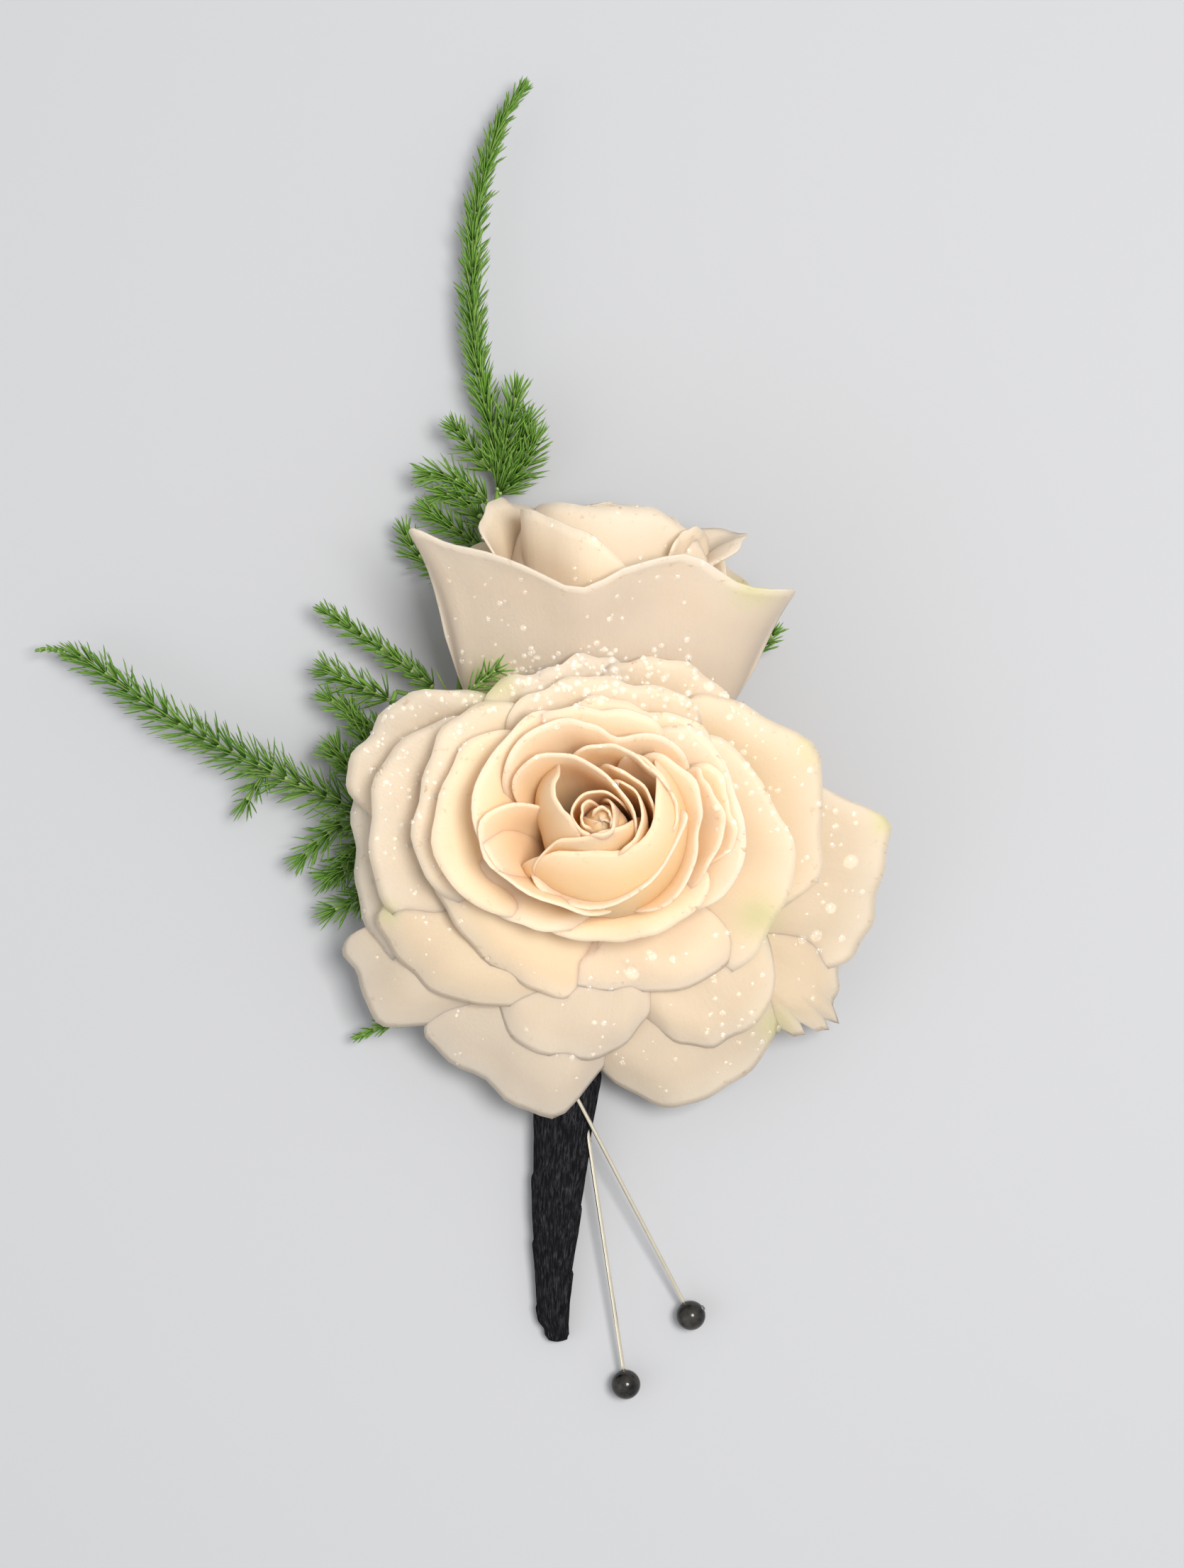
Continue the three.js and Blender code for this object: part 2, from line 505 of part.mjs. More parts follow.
// A sprig is one six-sided twig whose every second side is drawn out to a needle at each whorl, with each whorl
// turned from the last. The needles shorten to the tip.
const TWIG_SIDES = 6;
function sprigGeometry({ points, whorl, needle, lean }) {
  const curve = new THREE.CatmullRomCurve3(points.map(vector), false, 'centripetal');
  const length = curve.getLength();
  const whorls = Math.max(1, Math.floor(length / whorl));
  const frames = curve.computeFrenetFrames(whorls);
  const positions = [];
  const triangles = [];
  const addRing = (u, n, radius, reach) => {
    const centre = curve.getPointAt(Math.min(u, 1));
    for (let j = 0; j < TWIG_SIDES; j++) {
      const turn = 2 * Math.PI * (j / TWIG_SIDES + n * WHORL_TURN);
      const side = frames.normals[n].clone().multiplyScalar(Math.cos(turn))
        .addScaledVector(frames.binormals[n], Math.sin(turn));
      const drawn = reach > 0 && j % 2 === 0;
      const p = centre.clone().addScaledVector(side, drawn ? reach * Math.sin(radians(lean)) : radius);
      if (drawn) p.addScaledVector(frames.tangents[n], reach * Math.cos(radians(lean)));
      positions.push(p.x, p.y, p.z);
    }
  };
  const half = NEEDLE_WIDTH / 2 / length;
  addRing(0, 0, TWIG_RADIUS, 0);
  for (let n = 1; n <= whorls; n++) {
    const u = (n - 0.5) / whorls;
    const radius = THREE.MathUtils.lerp(TWIG_RADIUS, TWIG_TIP_RADIUS, u);
    addRing(u - half, n, radius, 0);
    addRing(u, n, radius, needle * (1 - 0.45 * u ** 4));
    addRing(u + half, n, radius, 0);
  }
  addRing(1, whorls, TWIG_TIP_RADIUS / 2, 0);
  const rings = 3 * whorls + 2;
  for (let i = 0; i < rings - 1; i++) {
    for (let j = 0; j < TWIG_SIDES; j++) {
      const a = i * TWIG_SIDES + j;
      const b = i * TWIG_SIDES + (j + 1) % TWIG_SIDES;
      triangles.push(a, b, b + TWIG_SIDES, a, b + TWIG_SIDES, a + TWIG_SIDES);
    }
  }
  const last = (rings - 1) * TWIG_SIDES;
  for (let j = 1; j < TWIG_SIDES - 1; j++) {
    triangles.push(0, j + 1, j);
    triangles.push(last, last + j, last + j + 1);
  }
  return closedGeometry(positions, triangles);
}

function frondGeometry({ stem, sprigs }) {
  const radii = stem.map(() => FROND_STEM_RADIUS);
  const pieces = [solid(limbGeometry(stem, radii, 5, 14))];
  for (const sprig of sprigs) pieces.push(solid(sprigGeometry(sprig)));
  return geometryOf(fuse(pieces));
}

// Pins: each is given by its head's centre and by the hidden point of its shaft
const PINS = {
  a: { head: [29.8, -73.5, 2.2], point: [13.9, -42.6, 6.9] },
  b: { head: [21.5, -82.3, 2.2], point: [15.9, -45.2, 4.6] },
};

// The shaft starts inside the head and ends in a short point
function shaftLimb({ head, point }) {
  const along = vector(point).sub(vector(head)).normalize();
  const start = vector(head).addScaledVector(along, BEAD_RADIUS - SHAFT_IN_BEAD);
  const shaft = new THREE.LineCurve3(start, vector(point));
  const points = [0, 0.94, 1].map((u) => shaft.getPoint(u).toArray());
  return [points, [SHAFT_RADIUS, SHAFT_RADIUS, SHAFT_RADIUS * 0.4], 8, 5];
}

function beadGeometry(pin) {
  const bead = new THREE.SphereGeometry(BEAD_RADIUS, 12, 8).translate(...pin.head);
  return geometryOf(solid(bead).subtract(solid(boreGeometry(...shaftLimb(pin)))));
}

// Wrap: a flattened tube of wound tape with its underside flat on the table, closed by a rounded end. Each
// station is [x, y, half width, height]. The stems and pins stand in plain holes in it.
const WRAP_STATIONS = [
  [12.6, -78.6, 0.7, 1.4], [12.7, -78.1, 1.4, 2.6], [12.7, -77, 1.75, 3.2], [12.5, -74.6, 1.8, 3.4], [12.3, -72.6, 1.95, 3.7],
  [12.2, -69.6, 2.25, 4.2], [12.7, -60.5, 3.2, 5.4], [13.9, -45.7, 4.1, 6.5], [14.6, -38, 4.8, 7.2], [15, -31.5, 5.3, 7.8],
];
const WRAP_SIDES = 14;

function wrapGeometry() {
  const positions = [];
  const triangles = [];
  for (const [x, y, half, height] of WRAP_STATIONS) {
    for (let j = 0; j < WRAP_SIDES; j++) {
      const angle = 2 * Math.PI * j / WRAP_SIDES;
      const z = height / 2 + 0.62 * height * Math.sin(angle);
      positions.push(x + half * Math.cos(angle), y, THREE.MathUtils.clamp(z, 0, height));
    }
  }
  const rings = WRAP_STATIONS.length;
  for (let i = 0; i < rings - 1; i++) {
    for (let j = 0; j < WRAP_SIDES; j++) {
      const a = i * WRAP_SIDES + j;
      const b = i * WRAP_SIDES + (j + 1) % WRAP_SIDES;
      triangles.push(a, a + WRAP_SIDES, b + WRAP_SIDES, a, b + WRAP_SIDES, b);
    }
  }
  const last = (rings - 1) * WRAP_SIDES;
  for (let j = 1; j < WRAP_SIDES - 1; j++) {
    triangles.push(0, j, j + 1);
    triangles.push(last, last + j + 1, last + j);
  }
  return closedGeometry(positions, triangles);
}

function wrapWithHoles() {
  const holes = [
    ...[FRONT_STEM, BACK_STEM].map(({ points, radii }) => boreGeometry(points, radii, 8, 14)),
    ...[UPPER_FROND, LEFT_FROND, RIGHT_FROND].map(({ stem }) =>
      boreGeometry(stem, stem.map(() => FROND_STEM_RADIUS), 5, 14)),
    ...Object.values(PINS).map((pin) => boreGeometry(...shaftLimb(pin))),
  ];
  return geometryOf(solid(wrapGeometry()).subtract(wasm.Manifold.union(holes.map(solid))));
}

// Finishes
const finish = (color, roughness, metalness = 0) => new THREE.MeshStandardMaterial({ color, roughness, metalness });
const PETAL_CREAM = finish(0xf0dcc0, 0.55);
const LEAF_GREEN = finish(0x4f6b2a, 0.6);
const FERN_GREEN = finish(0x39621a, 0.6);
const TAPE_BLACK = finish(0x1c1d20, 0.9);
const PIN_STEEL = finish(0xd8cfba, 0.25, 1);
const BEAD_BLACK = finish(0x17181a, 0.15);

const group = new THREE.Group();

function add(name, geometry, material) {
  const mesh = new THREE.Mesh(geometry, material);
  mesh.name = name;
  group.add(mesh);
  return mesh;
}

function addBloom(name, rings, bud, rose, pressBud, press) {
  const mesh = add(name, bloomGeometry(rings, bud, pressBud, press), PETAL_CREAM);
  roseMatrix(rose).decompose(mesh.position, mesh.quaternion, mesh.scale);
}

addBloom('rose_front_petals', FRONT_RINGS, FRONT_BUD, FRONT_ROSE, leanFrontBud, (p) => p);
addBloom('rose_back_petals', BACK_RINGS, BACK_BUD, BACK_ROSE, pressBack, pressBack);
add('rose_front_stem', greenGeometry(FRONT_STEM, FRONT_ROSE), LEAF_GREEN);
add('rose_back_stem', greenGeometry(BACK_STEM, BACK_ROSE), LEAF_GREEN);
add('fern_upper', frondGeometry(UPPER_FROND), FERN_GREEN);
add('fern_left', frondGeometry(LEFT_FROND), FERN_GREEN);
add('fern_right', frondGeometry(RIGHT_FROND), FERN_GREEN);
add('stem_wrap', wrapWithHoles(), TAPE_BLACK);
for (const [letter, pin] of Object.entries(PINS)) {
  add(`pin_shaft_${letter}`, limbGeometry(...shaftLimb(pin)), PIN_STEEL);
  add(`pin_bead_${letter}`, beadGeometry(pin), BEAD_BLACK);
}

export default group;
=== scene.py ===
# Boutonniere of two garden roses and asparagus fern, lying on a table and seen from straight above.
# Sizes are in millimetres until a mesh is made from them, and the frame's axes are the part's own.
import math
import random

import bpy
import numpy as np
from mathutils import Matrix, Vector
from mathutils.bvhtree import BVHTree


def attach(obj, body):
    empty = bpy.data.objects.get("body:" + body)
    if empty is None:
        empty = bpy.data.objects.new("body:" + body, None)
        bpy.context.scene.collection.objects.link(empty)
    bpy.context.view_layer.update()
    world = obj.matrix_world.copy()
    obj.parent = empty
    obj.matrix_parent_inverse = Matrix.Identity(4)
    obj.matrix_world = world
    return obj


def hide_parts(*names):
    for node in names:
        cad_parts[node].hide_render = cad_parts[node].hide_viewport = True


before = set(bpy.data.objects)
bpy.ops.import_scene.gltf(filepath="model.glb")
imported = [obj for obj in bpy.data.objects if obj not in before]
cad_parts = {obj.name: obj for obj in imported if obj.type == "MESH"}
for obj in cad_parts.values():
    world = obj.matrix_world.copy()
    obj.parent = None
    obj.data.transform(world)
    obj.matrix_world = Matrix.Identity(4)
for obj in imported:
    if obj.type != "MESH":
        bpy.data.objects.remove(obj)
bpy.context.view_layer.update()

# Camera: straight above the flower, with the handle towards the bottom of the picture.
# The lens covers 201 mm of the table from top to bottom.
MM = 0.001
CAMERA_PLACE = (17.2, -5.7, 420.0)
VIEW_HEIGHT = 201.1
SENSOR_SIZE = 36.0
camera_data = bpy.data.cameras.new("camera")
camera_data.sensor_width = SENSOR_SIZE
camera_data.lens = SENSOR_SIZE * CAMERA_PLACE[2] / VIEW_HEIGHT
camera = bpy.data.objects.new("camera", camera_data)
camera.location = Vector(CAMERA_PLACE) * MM
scene = bpy.context.scene
scene.collection.objects.link(camera)
scene.camera = camera

# Rose stems: a round green stem for each rose, which swells into the hip under the petals.
# Five narrow sepals grow from the top of each hip and fold down or lie along the petals.
FRONT_ROSE = dict(base=(20.5, -17.5, 14.0), axis=(-0.08, 0.27, 0.96))
BACK_ROSE = dict(base=(17.5, -6.5, 11.0), axis=(0.03, 0.966, 0.26))
# each sepal is given as [azimuth, length, how far its tip rises]
FRONT_STEM = dict(
    points=[(20.53, -17.6, 13.6), (20.74, -18.3, 11.1), (20.96, -19.1, 8.4), (20.9, -21.5, 5.4),
            (19.8, -26, 3.9), (17.6, -33, 3.5), (16.2, -40, 3.2), (15.9, -43.6, 3.1)],
    radii=[3.6, 4.3, 3.6, 2.0, 1.6, 1.6, 1.6, 1.4],
    sepals=[(-14, 9, -6), (58, 7, -3.5), (128, 4.8, -1), (216, 9, -6), (284, 9, -6)])
BACK_STEM = dict(
    points=[(17.49, -6.9, 10.9), (17.43, -8.6, 10.43), (16.7, -11.1, 9), (15, -15, 6.8), (13.8, -20, 4.9),
            (13.4, -27, 3.8), (12.9, -35, 3.4), (12.4, -46, 3.1), (12.2, -60, 2.7)],
    radii=[3.2, 3.8, 2.7, 1.7, 1.6, 1.6, 1.6, 1.3, 1.0],
    sepals=[(4, 9, -2), (70, 9, -1), (126, 9, -1), (183, 20, 16), (268, 4.6, -0.6)])
STEM_STEPS = 90
STEM_AROUND = 28
STEM_SLACK = 0.99
HIP_ROUNDING = (0.75, 0.93)
CUT_ROUNDING = (0.97, 0.88)
SEPAL_STEPS = 22
SEPAL_ROOT = 2.0
SEPAL_WIDTH = 4.2
SEPAL_THICKNESS = 0.45
SEPAL_TAPER = 1.7
SEPAL_WAVE = 0.06
SEPAL_TIP = 0.06
SEPAL_CUP = 0.35
SEPAL_DROP = 1.15
# places round a sepal's section, as [share of its half width, share of its thickness above the middle]
SEPAL_SECTION = ((-1, 0.06), (-0.5, 0.3), (0, 0.5), (0.5, 0.3), (1, 0.06), (0.5, -0.3), (0, -0.5),
                 (-0.5, -0.3))
SPAN_STEPS = 40
FIRST_SIDE = (0.3, 0.2, 1.0)


def curve_between(a, b, c, d, f):
    """The value at share f of the way from b to c, on a smooth curve that comes from a and goes on to d."""
    return 0.5 * (2 * b + (c - a) * f + (2 * a - 5 * b + 4 * c - d) * f**2 + (3 * b - a - 3 * c + d) * f**3)


def curve_through(points, count):
    """Even places along a smooth curve through the points, how many points along each is, and its length."""
    p = np.array(points, float)
    p = np.vstack([2 * p[0] - p[1], p, 2 * p[-1] - p[-2]])
    steps = np.linspace(0, len(points) - 1, SPAN_STEPS * (len(points) - 1) + 1)
    k = np.minimum(steps.astype(int), len(points) - 2)
    places = curve_between(p[k], p[k + 1], p[k + 2], p[k + 3], (steps - k)[:, None])
    length = np.concatenate([[0], np.cumsum(np.linalg.norm(np.diff(places, axis=0), axis=1))])
    even = np.linspace(0, length[-1], count)
    smooth = np.stack([np.interp(even, length, places[:, axis]) for axis in range(3)], axis=1)
    return smooth, np.interp(even, length, steps), length[-1]


def unit(vectors):
    """The same directions at length one."""
    return vectors / np.linalg.norm(vectors, axis=-1, keepdims=True)


def frames_along(places):
    """Tangent and two side directions at each place, turned as little as possible from one to the next."""
    tangents = unit(np.gradient(places, axis=0))
    side = np.cross(tangents[0], FIRST_SIDE)
    sides = []
    for tangent in tangents:
        side = unit(side - tangent * np.dot(side, tangent))
        sides.append(side)
    sides = np.array(sides)
    return tangents, sides, np.cross(tangents, sides)


def closed_tube(points, flip=False):
    """Points, faces and UVs of a tube through points given as [ring, place round it], closed at both ends."""
    rings, around = points.shape[:2]
    faces = [(i * around + j, i * around + (j + 1) % around, (i + 1) * around + (j + 1) % around,
              (i + 1) * around + j) for i in range(rings - 1) for j in range(around)]
    faces += [tuple(range(around))[::-1], tuple(range((rings - 1) * around, rings * around))]
    if flip:
        faces = [(face[0], *face[:0:-1]) for face in faces]
    across, along = np.meshgrid(np.linspace(0, 1, around, endpoint=False), np.linspace(0, 1, rings))
    return points.reshape(-1, 3), faces, np.stack([across.ravel(), along.ravel()], axis=1)


def tube_mesh(places, radii, around):
    """Points, faces and UVs of a closed round tube along the places."""
    _, sides, ups = frames_along(places)
    angles = np.linspace(0, 2 * np.pi, around, endpoint=False)
    spokes = sides[:, None] * np.cos(angles)[None, :, None] + ups[:, None] * np.sin(angles)[None, :, None]
    return closed_tube(places[:, None] + spokes * np.asarray(radii)[:, None, None])


def rose_axes(rose):
    """The rose's base, and its own axes: an X as near the table's X as it can be, a Y and an upright Z."""
    up = unit(rose["axis"])
    right = unit(np.array([1.0, 0, 0]) - up * up[0])
    return np.array(rose["base"], float), np.stack([right, np.cross(up, right), up])


def sepal_mesh(azimuth, length, lift, rose):
    """A pointed, curled sepal, as a closed strip that is thickest along its middle."""
    along = np.linspace(0, 1, SEPAL_STEPS)
    x = SEPAL_ROOT + (length - SEPAL_ROOT) * along
    wavy = 1 + SEPAL_WAVE * np.sin(23 * along + azimuth)
    half = SEPAL_WIDTH / 2 * (1 - along**SEPAL_TAPER) * wavy + SEPAL_TIP
    middle = lift * along**2 - SEPAL_DROP
    sections = []
    for share, thick in SEPAL_SECTION:
        cup = SEPAL_CUP * (share * half) ** 2 / SEPAL_WIDTH
        sections.append(np.stack([x, share * half, middle - cup + thick * SEPAL_THICKNESS], axis=1))
    local, faces, _ = closed_tube(np.stack(sections, axis=1), flip=True)
    turn = math.radians(azimuth)
    turned = local @ ((math.cos(turn), math.sin(turn), 0), (-math.sin(turn), math.cos(turn), 0), (0, 0, 1))
    base, axes = rose_axes(rose)
    across = np.tile([share / 2 + 0.5 for share, _ in SEPAL_SECTION], SEPAL_STEPS)
    return base + turned @ axes, faces, np.stack([across, np.repeat(along, len(SEPAL_SECTION))], axis=1)


def new_piece(name, material, parts, attributes=()):
    """One smooth mesh object from several lots of points, faces and UVs, with attributes given by point."""
    points = np.vstack([part[0] for part in parts]) * MM
    coordinates = np.vstack([part[2] for part in parts])
    faces = []
    start = 0
    for part in parts:
        faces += [tuple(corner + start for corner in face) for face in part[1]]
        start += len(part[0])
    mesh = bpy.data.meshes.new(name)
    mesh.from_pydata(points.tolist(), [], faces)
    corners = np.empty(len(mesh.loops), dtype=np.int32)
    mesh.loops.foreach_get("vertex_index", corners)
    uvs = mesh.uv_layers.new(name="UVMap")
    uvs.data.foreach_set("uv", coordinates[corners].astype(np.float32).ravel())
    for label, values in attributes:
        attribute = mesh.attributes.new(label, "FLOAT", "POINT")
        attribute.data.foreach_set("value", np.asarray(values, np.float32))
    mesh.polygons.foreach_set("use_smooth", [True] * len(mesh.polygons))
    mesh.materials.append(material)
    piece = bpy.data.objects.new(name, mesh)
    scene.collection.objects.link(piece)
    return piece


def node(tree, kind, settings=None, **sockets):
    """Adds a shader node. A socket is named with underscores for spaces, or with i and its number, and takes
    a value or another node's output."""
    made = tree.nodes.new(kind)
    for key, value in (settings or {}).items():
        setattr(made, key, value)
    for key, value in sockets.items():
        numbered = key[0] == "i" and key[1:].isdigit()
        target = made.inputs[int(key[1:]) if numbered else key.replace("_", " ")]
        if isinstance(value, bpy.types.NodeSocket):
            tree.links.new(value, target)
        else:
            target.default_value = value
    return made


def maths(tree, operation, *values, clamp=False):
    """The result of a sum with values that change over the surface."""
    sockets = {f"i{k}": value for k, value in enumerate(values)}
    return node(tree, "ShaderNodeMath", {"operation": operation, "use_clamp": clamp}, **sockets).outputs[0]


def stretched(tree, value, low, high, top=1.0):
    """A value whose range from low to high is stretched to run from nothing to top."""
    made = node(tree, "ShaderNodeMapRange", Value=value, From_Min=low, From_Max=high, To_Max=top)
    return made.outputs["Result"]


def mixed(tree, share, first, second, way="MIX"):
    """Two colours mixed by a share."""
    kind = {"data_type": "RGBA", "blend_type": way}
    return node(tree, "ShaderNodeMix", kind, i0=share, i6=first, i7=second).outputs[2]


def cloudy(tree, scale, detail, roughness):
    """Cloudy values through the whole piece."""
    place = node(tree, "ShaderNodeTexCoord").outputs["Object"]
    made = node(tree, "ShaderNodeTexNoise", Vector=place, Scale=scale, Detail=detail, Roughness=roughness)
    return made.outputs["Fac"]


def on_strip(tree):
    """Where on the piece's strip or sheet a place is, across it as X and along it as Y."""
    return node(tree, "ShaderNodeSeparateXYZ", Vector=node(tree, "ShaderNodeUVMap").outputs["UV"]).outputs


def group_tree(name, inputs, outputs):
    """An empty shader node group with its sockets, given as [name, socket type, value]."""
    tree = bpy.data.node_groups.new(name, "ShaderNodeTree")
    for label, kind, value in inputs:
        tree.interface.new_socket(name=label, in_out="INPUT", socket_type=kind).default_value = value
    for label, kind in outputs:
        tree.interface.new_socket(name=label, in_out="OUTPUT", socket_type=kind)
    return tree, tree.nodes.new("NodeGroupInput"), tree.nodes.new("NodeGroupOutput")


# clouds of a tint in a colour
mottle, given, out = group_tree("Mottle", [
    ("Colour", "NodeSocketColor", (0.5, 0.5, 0.5, 1)),
    ("Tint", "NodeSocketColor", (0.4, 0.4, 0.4, 1)),
    ("Scale", "NodeSocketFloat", 100.0),
    ("Amount", "NodeSocketFloat", 0.5)], [("Colour", "NodeSocketColor")])
clouds = stretched(mottle, cloudy(mottle, given.outputs["Scale"], 3.0, 0.6), 0.32, 0.68)
share = maths(mottle, "MULTIPLY", clouds, given.outputs["Amount"])
blend = mixed(mottle, share, given.outputs["Colour"], given.outputs["Tint"])
mottle.links.new(blend, out.inputs["Colour"])

# the height of fine ribs that run along a piece, from its UVs, with some wander
ribs, given, out = group_tree("Lengthwise ribs", [
    ("Count", "NodeSocketFloat", 20.0),
    ("Wander", "NodeSocketFloat", 0.5),
    ("Stretch", "NodeSocketFloat", 0.1)], [("Height", "NodeSocketFloat")])
along = maths(ribs, "MULTIPLY", on_strip(ribs)["Y"], given.outputs["Stretch"])
flat = node(ribs, "ShaderNodeCombineXYZ", X=on_strip(ribs)["X"], Y=along)
lines = node(ribs, "ShaderNodeTexNoise", Vector=flat.outputs[0], Scale=given.outputs["Count"], Detail=4.0,
             Roughness=0.7, Distortion=given.outputs["Wander"])
ribs.links.new(lines.outputs["Fac"], out.inputs["Height"])


def mottled(tree, colour, tint, scale, amount):
    """The mottled colour of a surface."""
    return node(tree, "ShaderNodeGroup", {"node_tree": mottle}, Colour=colour, Tint=tint, Scale=scale,
                Amount=amount).outputs["Colour"]


def ribbed(tree, count, wander, stretch):
    """The height of a surface's fine ribs."""
    return node(tree, "ShaderNodeGroup", {"node_tree": ribs}, Count=count, Wander=wander,
                Stretch=stretch).outputs["Height"]


def new_finish(name, **plain):
    """A new material with its tree and its Principled BSDF, whose plain sockets are set by name."""
    material = bpy.data.materials.new(name)
    material.use_nodes = True
    shader = material.node_tree.nodes["Principled BSDF"]
    for key, value in plain.items():
        shader.inputs[key.replace("_", " ")].default_value = value
    return material, material.node_tree, shader


def dress(tree, shader, colour, height=None, strength=0.0, distance=0.0):
    """Gives the shader a colour that changes over the surface, and relief where there is a height for it."""
    tree.links.new(colour, shader.inputs["Base Color"])
    if height is not None:
        relief = node(tree, "ShaderNodeBump", Height=height, Strength=strength, Distance=distance)
        tree.links.new(relief.outputs["Normal"], shader.inputs["Normal"])


stem_green, tree, shader = new_finish(
    "rose stem green", Roughness=0.5, Subsurface_Weight=0.1, Subsurface_Radius=(0.6, 1.0, 0.2),
    Subsurface_Scale=0.001)
rind = mottled(tree, (0.10, 0.19, 0.035, 1), (0.22, 0.28, 0.07, 1), scale=260.0, amount=0.8)
dress(tree, shader, rind, ribbed(tree, count=26.0, wander=0.4, stretch=0.15), strength=0.35, distance=0.0004)

for label, stem, rose in (("front", FRONT_STEM, FRONT_ROSE), ("back", BACK_STEM, BACK_ROSE)):
    places, steps, _ = curve_through(stem["points"], STEM_STEPS)
    radii = np.interp(steps, range(len(stem["radii"])), stem["radii"])
    radii[:2] *= HIP_ROUNDING
    radii[-2:] *= CUT_ROUNDING
    parts = [tube_mesh(places, radii * STEM_SLACK, STEM_AROUND)]
    parts += [sepal_mesh(*sepal, rose) for sepal in stem["sepals"]]
    stem_piece = new_piece(f"{label}_rose_stem", stem_green, parts)
    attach(stem_piece, "root")
    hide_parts(f"rose_{label}_stem")

# Petals: thin, soft and slightly waxy, in rings that open outwards, cream at the rim and peach in the heart.
# Each grows as one curved sheet from the top of its rose's hip. The rims roll back and ripple, some tips keep
# a tinge of green, and the very edges wither brown.
PETAL_THICKNESS = 0.26
PETAL_COLUMNS = 42
PETAL_ROWS = 22
LAST_COLUMN = 0.99
ROW_CROWDING = 0.9
# the rim's first and last place are at this share of the petal's half width, and past them its azimuth,
# distance and height go on by these shares of their last step
CORNER = 0.76
PAST_CORNER = (1, 0.3, 0.3)
# how far the curve from root to rim holds the slope of each end, as shares of its length
ROOT_HOLD = 0.5
RIM_HOLD = 0.35
CLAW = 0.4
MOST_REACH = 1.06
ROLL_IN_RIM = 0.5
ROLL_FROM = 0.66
ROLL_POWER = 2.4
ROLL_CHANGE = 0.35
TUCK_RATE = 1.6
POINT_WIDTH = 0.14
# the rim's line as [share of the petal's wave, waves across, waves by phase]
RIM_WAVES = ((0.024, 8.3, 2.1), (0.014, 19, 3.7))
RIM_LOSS = 0.02
# the sheet's ripples as [share of the wave, waves across, waves along, waves by phase, growth to the rim]
RIPPLES = ((1, 6.5, 0, 1, 3), (0.3, 17, 0, 2, 5), (0.2, -7, 13, 5, 1))
DIMPLE_SHARE = 0.25
